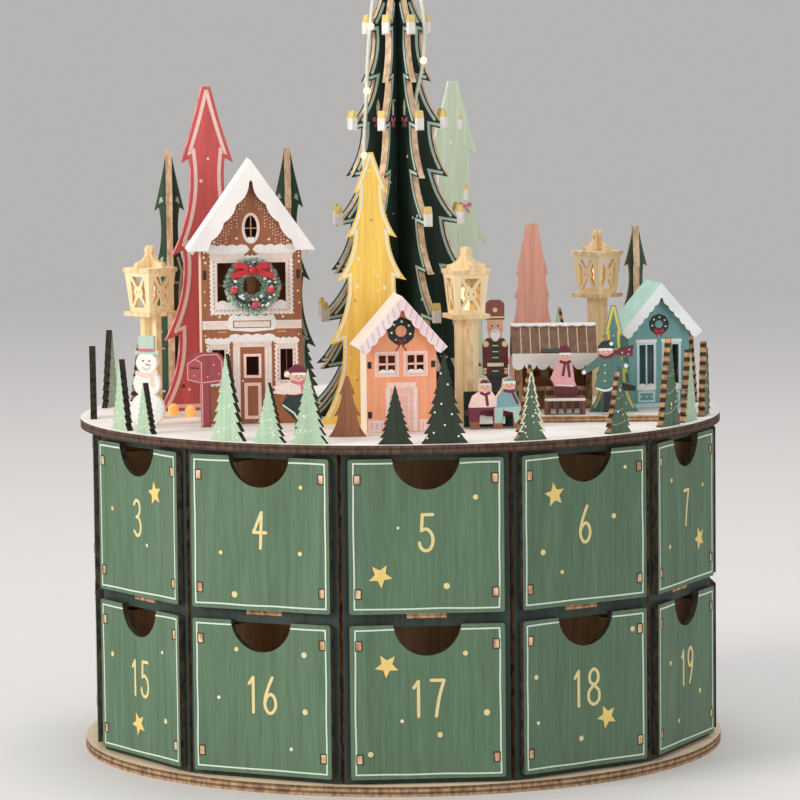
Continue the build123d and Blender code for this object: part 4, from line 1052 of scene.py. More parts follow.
    def star(self, seat: Seat, centre: Point, radius: float, colour: Ink, turn: float = 0.0,
             layer: int = 0) -> None:
        """A five-pointed star.

        Args:
            seat: the board's face.
            centre: its middle in millimetres.
            radius: reach of its points.
            colour: its ink.
            turn: degrees that it leans to the left.
            layer: inks that it lies over.
        """
        points = []
        for k in range(10):
            angle = math.radians(90 + turn + 36 * k)
            reach = radius if k % 2 == 0 else radius * 0.45
            points.append((centre[0] + reach * math.cos(angle), centre[1] + reach * math.sin(angle)))
        self.prism(seat, points, colour, layer)

    def bow(self, seat: Seat, centre: Point, size: float, colour: Ink, layer: int = 0) -> None:
        """A bow of two loops, two tails and a knot.

        Args:
            seat: the board's face.
            centre: the knot's place.
            size: the bow's half width.
            colour: its ink.
            layer: inks that it lies over.
        """
        x, y = centre
        for side in (-1, 1):
            loop = [(0.1, 0.0), (0.55, 0.5), (1.0, 0.42), (0.95, -0.12), (0.5, -0.2)]
            self.prism(seat, smooth([(x + side * a * size, y + b * size) for a, b in loop], 4, True), colour,
                       layer)
            tail = [(0.02, 0.05), (0.34, -0.32), (0.78, -1.0), (0.4, -1.08), (0.1, -0.4)]
            self.prism(seat, [(x + side * a * size, y + b * size) for a, b in tail], colour, layer)
        self.disc(seat, centre, 0.2 * size, colour, layer + 1)

    def finish(self) -> None:
        """Turn the collected shapes, if there are any, into a piece that rides on its body."""
        if not self.mesh.faces:
            self.mesh.free()
            return
        data = bpy.data.meshes.new(self.name)
        self.mesh.to_mesh(data)
        self.mesh.free()
        for colour in self.inks:
            data.materials.append(ink(colour))
        piece = bpy.data.objects.new(self.name, data)
        bpy.context.scene.collection.objects.link(piece)
        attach(piece, self.body)
        LOG.info("%s: %d faces", self.name, len(data.polygons))


DIGITS: dict[str, list[list[Point]]] = {
    "0": [[(0.5, 1), (0.16, 0.86), (0.04, 0.5), (0.16, 0.14), (0.5, 0), (0.84, 0.14), (0.96, 0.5),
           (0.84, 0.86), (0.5, 1)]],
    "1": [[(0.22, 0.80), (0.52, 0.98)], [(0.52, 0.98), (0.52, 0)]],
    "2": [[(0.06, 0.76), (0.22, 0.94), (0.5, 1), (0.82, 0.9), (0.86, 0.68), (0.62, 0.42), (0.05, 0.0)],
          [(0.05, 0), (0.95, 0)]],
    "3": [[(0.10, 0.88), (0.34, 1), (0.70, 0.96), (0.84, 0.77), (0.66, 0.58), (0.38, 0.53)],
          [(0.38, 0.53), (0.72, 0.49), (0.92, 0.28), (0.78, 0.06), (0.42, 0), (0.08, 0.12)]],
    "4": [[(0.66, 1), (0.05, 0.44)], [(0.05, 0.44), (0.98, 0.44)], [(0.66, 1), (0.56, 0)]],
    "5": [[(0.92, 1), (0.24, 1)], [(0.24, 1), (0.18, 0.56)],
          [(0.18, 0.56), (0.52, 0.60), (0.84, 0.46), (0.92, 0.24), (0.74, 0.05), (0.42, 0),
           (0.14, 0.08), (0.04, 0.22)]],
    "6": [[(0.66, 1), (0.36, 0.72), (0.12, 0.40), (0.12, 0.18), (0.36, 0.01), (0.68, 0.03), (0.90, 0.22),
           (0.80, 0.44), (0.52, 0.53), (0.24, 0.44), (0.12, 0.30)]],
    "7": [[(0.08, 1), (0.92, 1)], [(0.92, 1), (0.60, 0.52), (0.40, 0)]],
    "8": [[(0.5, 0.54), (0.18, 0.66), (0.18, 0.88), (0.5, 1), (0.82, 0.88), (0.82, 0.66), (0.5, 0.54)],
          [(0.5, 0.54), (0.10, 0.38), (0.10, 0.12), (0.5, 0), (0.90, 0.12), (0.90, 0.38), (0.5, 0.54)]],
    "9": [[(0.88, 0.70), (0.74, 0.54), (0.46, 0.48), (0.18, 0.58), (0.10, 0.80), (0.32, 0.98), (0.66, 0.98),
           (0.88, 0.82), (0.86, 0.52), (0.62, 0.22), (0.36, 0)]]}

# Dots on the drawer fronts, by number: across from the middle, up from the lower edge and radius
SPANGLES: dict[int, tuple[tuple[float, float, float], ...]] = {
    3: ((-22, 38, 0.9), (8, 24, 0.8)),
    4: ((20.6, 55.5, 0.9), (-19.5, 25.0, 0.9), (19.9, 26.2, 1.0), (-12.8, 6.6, 1.4)),
    5: ((21.7, 51.0, 1.15), (-12.5, 38.0, 0.65), (8.7, 12.0, 1.4)),
    6: ((22.3, 59.6, 0.8), (15.9, 38.1, 1.2), (-23.3, 24.9, 1.3), (-12.9, 15.4, 0.9)),
    7: ((20, 44, 0.9), (-18, 50, 1.0), (-20, 20, 1.0)),
    15: ((-24, 44, 1.2), (20, 50, 0.8), (22, 19, 1.2)),
    16: ((-12.3, 55.4, 1.0), (21.3, 54.7, 1.3), (-21.4, 33.3, 0.8), (21.5, 29.3, 1.3), (14.4, 12.3, 0.8)),
    17: ((16.7, 55.4, 1.1), (25.9, 28.9, 1.4), (-11.5, 25.8, 0.8), (5.2, 19.4, 1.2), (-25.5, 11.3, 1.2)),
    18: ((-27.4, 43, 1.1), (26.1, 59.6, 1.2), (-26.5, 22.5, 0.8), (-2.9, 13.1, 1.2)),
    19: ((-20, 40, 1.1), (16, 22, 1.2), (-10, 12, 0.9))}
# Stars on the drawer fronts, by number: across, up and degrees that it leans
STARS: dict[int, tuple[float, float, float]] = {
    3: (15.6, 48.3, 10), 5: (-20.4, 17.0, 185), 6: (-16.8, 50.0, 8), 7: (15.7, 19.7, 20),
    15: (-1.5, 14.6, 170), 17: (-18.0, 50.5, 176), 18: (11.4, 21.5, 168)}


@dataclass
class DrawerRing:
    """The twenty-four drawers: painted fronts, cut edges darkened by painted shade at the front, line, number
    and spangles.
    """

    digit_height: float = 15.9
    digit_width: float = 6.7
    digit_pitch: float = 8.6
    digit_up: float = 35.7
    stroke: float = 1.4
    line_inset: float = 2.1
    line_width: float = 0.66
    notch_half: float = 14.9
    tab_half: Point = (1.4, 2.1)
    green: BoardPaint = BoardPaint("drawer_green", (88, 116, 89), 0.11, Grain.UPRIGHT, 0.16)
    tab_end: BurntEdge = BurntEdge("tab_end", (178, 132, 88), (240, 208, 164))
    # The fronts' edges: charred plywood, darkened further by painted shade of the gaps between fronts and
    # facade.
    front_edge: BurntEdge = BurntEdge("front_edge", (28, 22, 17), (78, 66, 50))

    def dress(self) -> None:
        """Paint and print every drawer."""
        for number in range(1, 25):
            upper = number <= 12
            azimuth = 30 * (number - (5 if upper else 17))
            foot = (SHELF_TOP if upper else FLOOR_TOP) - 0.5
            angle = math.radians(azimuth)
            out = Vector((math.sin(angle), -math.cos(angle), 0))
            seat = Seat(out * FRONT_OUT * MM + Vector((0, 0, foot * MM)),
                        Vector((math.cos(angle), math.sin(angle), 0)), Vector((0, 0, 1)), out)
            self._print(number, seat, self._paint(number, out))

    def _paint(self, number: int, out: Vector) -> list[FlatFace]:
        """Paint one drawer's boards.

        Args:
            number: the drawer's number.
            out: where it faces.
        Returns:
            The ends of the side boards' tabs in the front.
        """
        tabs: list[FlatFace] = []

        def choose(face: FlatFace) -> bpy.types.Material:
            """The material of one face.

            Args:
                face: a flat face.
            Returns:
                Its material.
            """
            depth = face.centre.dot(out) / MM
            if face.out.dot(out) > 0.99 and depth > FRONT_OUT - 0.5:
                if face.area > 30 * MM * MM:
                    return self.green.material()
                tabs.append(face)
                return self.tab_end.material()
            if face.is_edge:
                return (self.front_edge if depth > FRONT_OUT - 3.2 else PALE_EDGE).material()
            return BARE_WOOD.material()

        BoardMesh(f"drawer_{number:02d}").paint(choose)
        return tabs

    def _print(self, number: int, seat: Seat, tabs: list[FlatFace]) -> None:
        """Print one drawer's front and scorch the slots of its tabs.

        Args:
            number: the drawer's number.
            seat: the front's face, at its lower edge.
            tabs: the tabs' ends.
        """
        dice = random.Random(number)
        sheet = Print(f"drawer_{number:02d}_print", f"drawer_{number:02d}", "drawer_green")
        self._line(sheet, seat, dice)
        for tab in tabs:
            x, y = seat.flat(tab.centre)
            wide, tall = self.tab_half
            slot = [(x - wide, y - tall), (x + wide, y - tall), (x + wide, y + tall), (x - wide, y + tall)]
            sheet.ribbon(seat, slot, 0.42, Ink.SCORCH, 1, closed=True)
        digits = str(number)
        for place, digit in enumerate(digits):
            x = (place - (len(digits) - 1) / 2) * self.digit_pitch
            for stroke in DIGITS[digit]:
                points = [(x + (a - 0.5) * self.digit_width, self.digit_up + (b - 0.5) * self.digit_height)
                          for a, b in stroke]
                sheet.ribbon(seat, smooth(points) if len(points) > 2 else points, self.stroke, Ink.GOLD)
        spangles = SPANGLES.get(number)
        star = STARS.get(number)
        if spangles is None:
            spangles = [(side * dice.uniform(12, 27), 11 + 13 * k + dice.uniform(-3, 3),
                         dice.uniform(0.7, 1.4)) for k, side in enumerate((1, -1, 1, -1))]
            if number % 2:
                star = (dice.choice((-1, 1)) * dice.uniform(15, 19), dice.choice((17, 50)),
                        dice.uniform(0, 72))
        for x, y, radius in spangles:
            sheet.disc(seat, (x, y), radius, Ink.CREAM if radius < 0.9 else Ink.GOLD, 1)
        if star:
            sheet.star(seat, star[:2], 5.5, Ink.STAR_GOLD, star[2], 2)
        sheet.finish()

    def _line(self, sheet: Print, seat: Seat, dice: random.Random) -> None:
        """The hand-drawn line round a front, open at the finger notch.

        Args:
            sheet: the front's print.
            seat: the front's face, at its lower edge.
            dice: the drawer's own random numbers.
        """
        low, high = self.line_inset, FRONT_SIZE - self.line_inset
        half = FRONT_SIZE / 2 - self.line_inset
        corners = [(-self.notch_half, high), (-half, high), (-half, low), (half, low), (half, high),
                   (self.notch_half, high)]
        corners = [(x + dice.uniform(-0.3, 0.3), y + dice.uniform(-0.3, 0.3)) for x, y in corners]
        points: list[Point] = []
        for (ax, ay), (bx, by) in zip(corners, corners[1:]):
            pieces = max(2, round(math.hypot(bx - ax, by - ay) / 12))
            side = [(ax, ay)] + [(ax + (bx - ax) * k / pieces + dice.uniform(-0.16, 0.16),
                                  ay + (by - ay) * k / pieces + dice.uniform(-0.16, 0.16))
                                 for k in range(1, pieces)] + [(bx, by)]
            points += smooth(side, 4)[:-1]
        points.append(corners[-1])
        sheet.ribbon(seat, points, self.line_width, Ink.MINT_LINE)


@dataclass
class Drum:
    """Base, floor, facade, partitions, shelf, deck and platform."""

    # The facade has the drawers' green paint, darkened by painted shade of the recessed frame between the
    # drawers.
    facade: BoardPaint = BoardPaint("facade_green_painted_shade", (36, 53, 45), 0.2)
    # The base plate's top: bare plywood lightened by painted light on its lit top face.
    base_top: BoardPaint = BoardPaint("base_top", (246, 220, 184), 0.08, Grain.ACROSS)
    snow: SnowPaint = SnowPaint("deck_snow")
    deck_edge: BurntEdge = BurntEdge("deck_edge", (40, 26, 19), (104, 74, 54), 2.0, 0.55)
    base_edge: BurntEdge = BurntEdge("base_edge", (84, 60, 42), (196, 158, 118), 2.2, 0.75)
    platform_edge: BurntEdge = BurntEdge("platform_edge", (124, 84, 56), (214, 176, 130), 1.5, 0.7)
    shelf_edge: BurntEdge = BurntEdge("shelf_edge", (128, 84, 54), (226, 184, 134), 1.5, 0.4)

    def dress(self) -> None:
        """Paint the drum's boards."""
        plates = (("base_plate", self.base_edge, self.base_top), ("floor_plate", self.base_edge, FLAT_WOOD),
                  ("middle_shelf", self.shelf_edge, FLAT_WOOD), ("snow_deck", self.deck_edge, self.snow),
                  ("snow_platform", self.platform_edge, self.snow))
        for node, edge, top in plates:
            BoardMesh(node).paint(lambda face, edge=edge, top=top: self._plate(face, edge, top))
        BoardMesh("partitions").paint_boards(BARE_WOOD, PALE_EDGE)
        BoardMesh("facade_panels").paint(self._facade)

    def _facade(self, face: FlatFace) -> bpy.types.Material:
        """The facade is painted outside and bare inside.

        Args:
            face: a flat face.
        Returns:
            Its material.
        """
        if face.is_edge:
            return BOARD_EDGE.material()
        outwards = face.out.dot(Vector((face.centre.x, face.centre.y, 0))) > 0
        return (self.facade if outwards else BARE_WOOD).material()

    @staticmethod
    def _plate(face: FlatFace, edge: Finish, top: Finish) -> bpy.types.Material:
        """A flat plate has its own finish above, is bare below and burnt at the rim.

        Args:
            face: a flat face.
            edge: finish of the rim.
            top: finish of the upper side.
        Returns:
            The face's material.
        """
        if face.is_edge or abs(face.out.z) < 0.5:
            return edge.material()
        return (top if face.out.z > 0 else FLAT_WOOD).material()


@dataclass
class PineOutline:
    """The line, dots and hangings printed on one tree's boards."""

    node: str
    paint: BoardPaint
    line: Optional[Ink]
    line_inset: float = 1.0
    line_width: float = 0.8
    dots: int = 0
    dot_ink: Ink = Ink.WHITE
    dot_size: tuple[float, float] = (0.3, 0.7)
    stars: int = 0
    star_ink: Ink = Ink.SLOT_DARK
    star_size: Point = (0.8, 1.3)
    trunk: float = 3.2
    edge: BurntEdge = BOARD_EDGE
    slot: str = "pine_paint"
    axes: tuple[Place, ...] = ()

    def dress(self) -> None:
        """Paint the boards and print both faces of each."""
        board = BoardMesh(self.node)
        board.paint_boards(self.paint, self.edge)
        sheet = Print(self.node + "_print", CALENDAR, self.slot)
        dice = random.Random(len(self.node) * 7 + self.dots)
        for face in board.faces:
            if not face.is_edge and abs(face.out.z) < 0.2 and face.area > 60 * MM * MM:
                self._decorate(sheet, face, dice)
        sheet.finish()

    def axis_of(self, face: FlatFace) -> Vector:
        """The foot of the nearest tree's trunk.

        Args:
            face: a board's face.
        Returns:
            A place on the deck.
        """
        return min((place.seat().origin for place in self.axes),
                   key=lambda spot: (spot.xy - face.centre.xy).length)

    def _decorate(self, sheet: Print, face: FlatFace, dice: random.Random) -> None:
        """Print one face.

        Args:
            sheet: the tree's print.
            face: the board's face.
            dice: the tree's own random numbers.
        """
        seat = Seat.on(face)
        foot = self.axis_of(face)
        axis, ground = seat.flat(foot)
        loop = [seat.flat(p) for p in face.outline()]
        if area_of(loop) < 0:
            loop.reverse()
        top = max(y for _, y in loop)
        if self.line:
            self._lines(sheet, seat, loop, axis, ground, top)
        across = min(x for x, _ in loop), max(x for x, _ in loop)
        share = min(1.6, face.area / (900 * MM * MM))
        for count, room in ((self.dots, 0.5), (self.stars, 1.0)):
            placed, wanted = 0, round(count * share)
            for _ in range(wanted * 30):
                spot = (dice.uniform(*across), ground + 2 + (top - ground - 4) * dice.random() ** 1.25)
                near = edge_distance(spot, loop) < self.line_inset + self.line_width + room
                if placed == wanted or near or abs(spot[0] - axis) < self.trunk or not inside(spot, loop):
                    continue
                placed += 1
                if room < 1:
                    sheet.disc(seat, spot, dice.uniform(*self.dot_size), self.dot_ink, 1)
                else:
                    sheet.star(seat, spot, dice.uniform(*self.star_size), self.star_ink,
                               dice.uniform(0, 72), 1)

    def _lines(self, sheet: Print, seat: Seat, loop: list[Point], axis: float, ground: float,
               top: float) -> None:
        """The line inside the branch edges, left out along the trunk and the foot.

        Args:
            sheet: the tree's print.
            seat: the face's seat.
            loop: the face's outline.
            axis: where the trunk is.
            ground: height of the foot.
            top: height of the crown.
        """
        run: list[Point] = []
        runs = []
        for spot in inset(loop, self.line_inset + self.line_width / 2):
            keep = spot is not None and spot[1] > ground + 1.6 and (
                abs(spot[0] - axis) > self.trunk or spot[1] > ground + 0.93 * (top - ground))
            if keep:
                run.append(spot)
            elif run:
                runs.append(run)
                run = []
        if run and runs and runs[0] and loop:
            runs[0] = run + runs[0]
        elif run:
            runs.append(run)
        for points in runs:
            pieces: list[list[Point]] = [[points[0]]]
            for a, b in zip(points, points[1:]):
                if math.hypot(b[0] - a[0], b[1] - a[1]) > 34:
                    pieces.append([b])
                else:
                    pieces[-1].append(b)
            for piece in pieces:
                if len(piece) > 1:
                    sheet.ribbon(seat, piece, self.line_width, self.line)


@dataclass
class Forest:
    """The trees on the deck, from the great pine to the ring of small ones."""

    great_height: float = 250.0
    great_radius: float = 48.0
    tiers: int = 6
    crown_share: float = 0.116
    first_share: float = 0.19
    candle: Point = (2.6, 9.2)
    printed: Point = (10.6, 137.0)
    rim_azimuths: tuple[float, ...] = (
        -109.7, -88.4, -65.4, -56.9, -36.2, -27.8, -20.4, -5.2, 3.4, 19.0, 37.9, 53.0, 61.5, 73.0, 88.0,
        101.0, 115.0, 128.0, 142.0, 156.0, 169.0, 183.0, 196.0, 210.0, 224.0, 237.0)
    dark_dots: tuple[Point, ...] = (
        (-0.18, 0.786), (0.12, 0.662), (-0.16, 0.446), (-0.45, 0.352), (0.29, 0.328), (-0.02, 0.208),
        (-0.5, 0.124), (-0.78, 0.066), (0.57, 0.08))

    def dress(self) -> None:
        """Paint and print every tree."""
        natural = BurntEdge("natural_edge", (190, 154, 120), (234, 206, 172))
        pines = (
            PineOutline("great_tree", BoardPaint("dark_pine", (38, 58, 47), 0.2), Ink.SAGE_LINE, 0.7, 1.3,
                        dots=12, trunk=7.0, edge=natural, slot="dark_pine_paint",
                        axes=(PLACES["great_tree"],)),
            PineOutline("red_tree", BoardPaint("red_pine", (216, 94, 92), 0.09), Ink.PALE_PINK, 1.5, 1.7,
                        dots=11, dot_ink=Ink.PALE_PINK, dot_size=(0.4, 0.95), stars=5,
                        star_ink=Ink.DEEP_RED, trunk=-1.0,
                        edge=BurntEdge("red_edge", (206, 96, 98), (240, 158, 152)), slot="red_paint",
                        axes=(PLACES["red_tree"],)),
            PineOutline("yellow_tree", BoardPaint("yellow_pine", (250, 204, 94), 0.09), Ink.CREAM, 0.7, 1.2,
                        dots=12, dot_ink=Ink.CREAM, dot_size=(0.4, 1.0), stars=5,
                        star_ink=Ink.WOOD_TAN, trunk=-1.0,
                        edge=BurntEdge("yellow_edge", (196, 150, 82), (246, 214, 140)), slot="yellow_paint",
                        axes=(PLACES["yellow_tree"],)),
            PineOutline("mint_tree", BoardPaint("mint_pine", (204, 220, 195), 0.07), None, dots=5, trunk=-1.0,
                        edge=BurntEdge("mint_edge", (190, 206, 182), (224, 232, 212)), slot="mint_paint",
                        axes=(PLACES["mint_tree"],)),
            PineOutline("coral_tree", BoardPaint("coral_pine", (248, 176, 154), 0.1), None, trunk=-1.0,
                        edge=BurntEdge("coral_edge", (204, 122, 104), (240, 172, 150)), slot="coral_paint",
                        axes=(PLACES["coral_tree"],)),
            PineOutline("teal_tree", BoardPaint("teal_pine", (92, 140, 132), 0.14), Ink.YELLOW_LINE, 0.4, 1.2,
                        dots=6, trunk=-1.0, edge=BurntEdge("teal_edge", (120, 116, 62), (196, 186, 100)),
                        slot="teal_paint", axes=(PLACES["teal_tree"],)),
            PineOutline("back_pines", BoardPaint("back_pine", (62, 90, 66), 0.2), Ink.SAGE_LINE, 1.2, 1.3,
                        dots=9, edge=natural, slot="pine_paint",
                        axes=(PLACES["left_pine"], PLACES["house_pine"], PLACES["right_pine"])))
        for pine in pines:
            pine.dress()
        self._candles()
        self._mint_candles()
        self._rim()

    def _tiers(self) -> list[Point]:
        """Where the great pine's candles stand.

        Returns:
            For each tier, the distance of a candle's middle from the axis and the height of its foot.
        """
        spots = []
        for step in range(1, self.tiers - 1):
            share = step / (self.tiers - 1)
            across = self.great_radius * (self.first_share + (1 - self.first_share) * share)
            spots.append((across - 0.5 - self.candle[0] / 2,
                          self.great_height * (1 - self.crown_share) * (1 - share)))
        return spots

    def _candles(self) -> None:
        """White candles with a gold flame on the great pine's branch tips, and the printed ones with bows."""
        board = BoardMesh("great_tree")
        wax, flame = ink(Ink.WHITE), ink(Ink.STAR_GOLD)
        wide, tall = self.candle
        extra = len(board.mesh.materials)
        board.mesh.materials.append(wax)
        board.mesh.materials.append(flame)
        for face in board.faces:
            reach, up = face.centre.xy.length / MM, face.centre.z / MM - DECK_TOP
            for across, foot in self._tiers():
                beside = abs(reach - across) < wide / 2 + 0.2
                if face.is_edge and beside and foot + 0.5 < up < foot + tall + 0.2:
                    for index in face.polygons:
                        board.mesh.polygons[index].material_index = extra + (up > foot + 0.63 * tall)
        sheet = Print("great_tree_candles", CALENDAR, "white_snow_paint")
        for turn in range(8):
            axis = PLACES["great_tree"].seat(22.5 + 45 * turn)
            for side in (-1, 1):
                seat = Seat(axis.origin + axis.out * side * HALF_PLY * MM, axis.right * side, axis.up,
                            axis.out * side)
                for across, up in self._tiers():
                    self._candle(sheet, seat, (side * across, up), wide - 0.06, tall - 0.05)
                x, up = side * self.printed[0], self.printed[1]
                sheet.bow(seat, (x, up), 2.9, Ink.BOW_PINK, 2)
                self._candle(sheet, seat, (x, up + 2.4), 1.7, 7.4)
        sheet.finish()

    @staticmethod
    def _candle(sheet: Print, seat: Seat, foot: Point, wide: float, tall: float) -> None:
        """A white candle with a gold flame.

        Args:
            sheet: the tree's print.
            seat: the board's face.
            foot: the middle of its foot.
            wide: its width.
            tall: height up to the flame's point.
        """
        x, y = foot
        half, top = wide / 2, y + 0.62 * tall
        sheet.rectangle(seat, (x - half, x + half, y, top), Ink.WHITE, 1)
        flame = [(1.0, 0.62), (0.72, 0.8), (0.2, 1.0), (-0.2, 1.0), (-0.72, 0.8), (-1.0, 0.62)]
        sheet.prism(seat, [(x + a * half, y + b * tall) for a, b in flame], Ink.STAR_GOLD, 1)

    def _mint_candles(self) -> None:
        """The candles and the bow printed on both faces of the mint pine."""
        sheet = Print("mint_tree_candles", CALENDAR, "mint_paint")
        for turn in (0, 180):
            seat = PLACES["mint_tree"].front(BoardMesh("mint_tree"), turn=turn)
            sheet.bow(seat, (5.4, 92.2), 3.2, Ink.BOW_PINK, 2)
            self._candle(sheet, seat, (5.9, 95.0), 2.2, 8.2)
            self._candle(sheet, seat, (3.2, 129.6), 2.0, 7.6)
        sheet.finish()

    def _rim(self) -> None:
        """The ring of small pines: pale, dark or middle green, some with garlands or a cream line."""
        pale = BoardPaint("rim_pale", (174, 200, 170), 0.09)
        dark = BoardPaint("rim_dark", (33, 46, 26), 0.24)
        middle = BoardPaint("rim_middle", (84, 110, 86), 0.16)
        brown = BoardPaint("rim_brown", (146, 92, 62), 0.16)
        in_view = [pale] * 7 + [dark] * 2 + [middle] * 3 + [pale, middle]
        charred = BurntEdge("charred_teeth", (24, 19, 15), (58, 44, 32))
        striped = BurntEdge("striped_teeth", (46, 29, 20), (196, 150, 104), 4.1, 1.0)
        board = BoardMesh("rim_trees")
        sheet = Print("rim_trees_print", CALENDAR, "pine_paint")
        brown_foot = PLACES["brown_tree"].seat().origin

        def which(face: FlatFace) -> int:
            """Which small pine a face belongs to.

            Args:
                face: a flat face.
            Returns:
                The pine's number, or -1 for the brown one.
            """
            if (face.centre.xy - brown_foot.xy).length < 9 * MM:
                return -1
            azimuth = math.degrees(math.atan2(face.centre.x, -face.centre.y))
            gaps = [abs((azimuth - a + 180) % 360 - 180) for a in self.rim_azimuths]
            return gaps.index(min(gaps))

        def choose(face: FlatFace) -> bpy.types.Material:
            """The material of one face.

            Args:
                face: a flat face.
            Returns:
                Its material.
            """
            number = which(face)
            if number < 0:
                return brown.material()
            if face.is_edge:
                return (striped if number > 8 else charred).material()
            green = in_view[number] if number < len(in_view) else (pale, dark, middle)[number % 3]
            return green.material()

        board.paint(choose)
        dice = random.Random(24)
        for face in board.faces:
            number = which(face)
            if face.is_edge or number < 0 or abs(face.out.z) > 0.2 or face.area < 40 * MM * MM:
                continue
            self._small_pine(sheet, face, number, dice)
        sheet.finish()

    def _small_pine(self, sheet: Print, face: FlatFace, number: int, dice: random.Random) -> None:
        """Print one face of a small pine.

        Args:
            sheet: the ring's print.
            face: the board's face.
            number: which small pine it is.
            dice: the ring's own random numbers.
        """
        seat = Seat.on(face)
        loop = [seat.flat(p) for p in face.outline()]
        if area_of(loop) < 0:
            loop.reverse()
        ground = seat.flat(Vector((face.centre.x, face.centre.y, DECK_TOP * MM)))[1]
        top = max(y for _, y in loop)
        half = max(x for x, _ in loop)
        if number in (9, 15, 21):
            line = [p for p in inset(loop, 0.4) if p and p[1] > ground + 0.8]
            if len(line) > 3:
                sheet.ribbon(seat, line, 0.6, Ink.CREAM)
        if number in (2, 4, 5, 6, 10, 11, 12, 16, 18, 22):
            for level in (0.16, 0.38, 0.58, 0.76):
                wide = half * (1 - level) * 0.92
                for k in range(max(4, round(wide * 1.7))):
                    t = k / max(3, round(wide * 1.7) - 1) * 2 - 1
                    spot = (wide * t, ground + (top - ground) * (level + 0.05 * t + 0.05 * t * t))
                    if inside(spot, loop) and edge_distance(spot, loop) > 0.5:
                        sheet.disc(seat, spot, 0.24, Ink.WHITE)
        if number == 8:
            for across, up in self.dark_dots:
                sheet.disc(seat, (across * half, ground + up * (top - ground)), 0.45, Ink.WHITE, 1)
        count = 9 if number in (9, 14, 17, 20) else 4 if number not in (7, 8) else 0
        for _ in range(count * 8):
            if not count:
                break
            spot = (dice.uniform(-half, half), ground + 1.5 + (top - ground - 6) * dice.random())
            if inside(spot, loop) and edge_distance(spot, loop) > 1.2:
                sheet.disc(seat, spot, dice.uniform(0.3, 0.55), Ink.WHITE, 1)
                count -= 1


def scallop(left: float, right: float, low: float, high: float, bumps: int, deep: float) -> list[Point]:
    """A snow cap with a bumpy upper edge.

    Args:
        left: its left end.
        right: its right end.
        low: its lower edge.
        high: its upper edge at the bumps' feet.
        bumps: how many bumps.
        deep: how high a bump stands.
    Returns:
        The outline.
    """
    points = [(left, low), (right, low)]
    for k in range(bumps * 5 + 1):
        t = k / (bumps * 5)
        points.append((right + (left - right) * t, high + deep * abs(math.sin(math.pi * bumps * t))))
    return points


def pane(shares: Span, width: float, height: float) -> Span:
    """A window's opening.

    Args:
        shares: its middle across and up, its width and height, as shares of the house.
        width: the house's width.
        height: the house's gable height.
    Returns:
        Its left, right, low and high in millimetres.
    """
    across, up, wide, tall = shares
    x, y, half, high = across * width, up * height, wide * width / 2, tall * height / 2
    return x - half, x + half, y - high, y + high


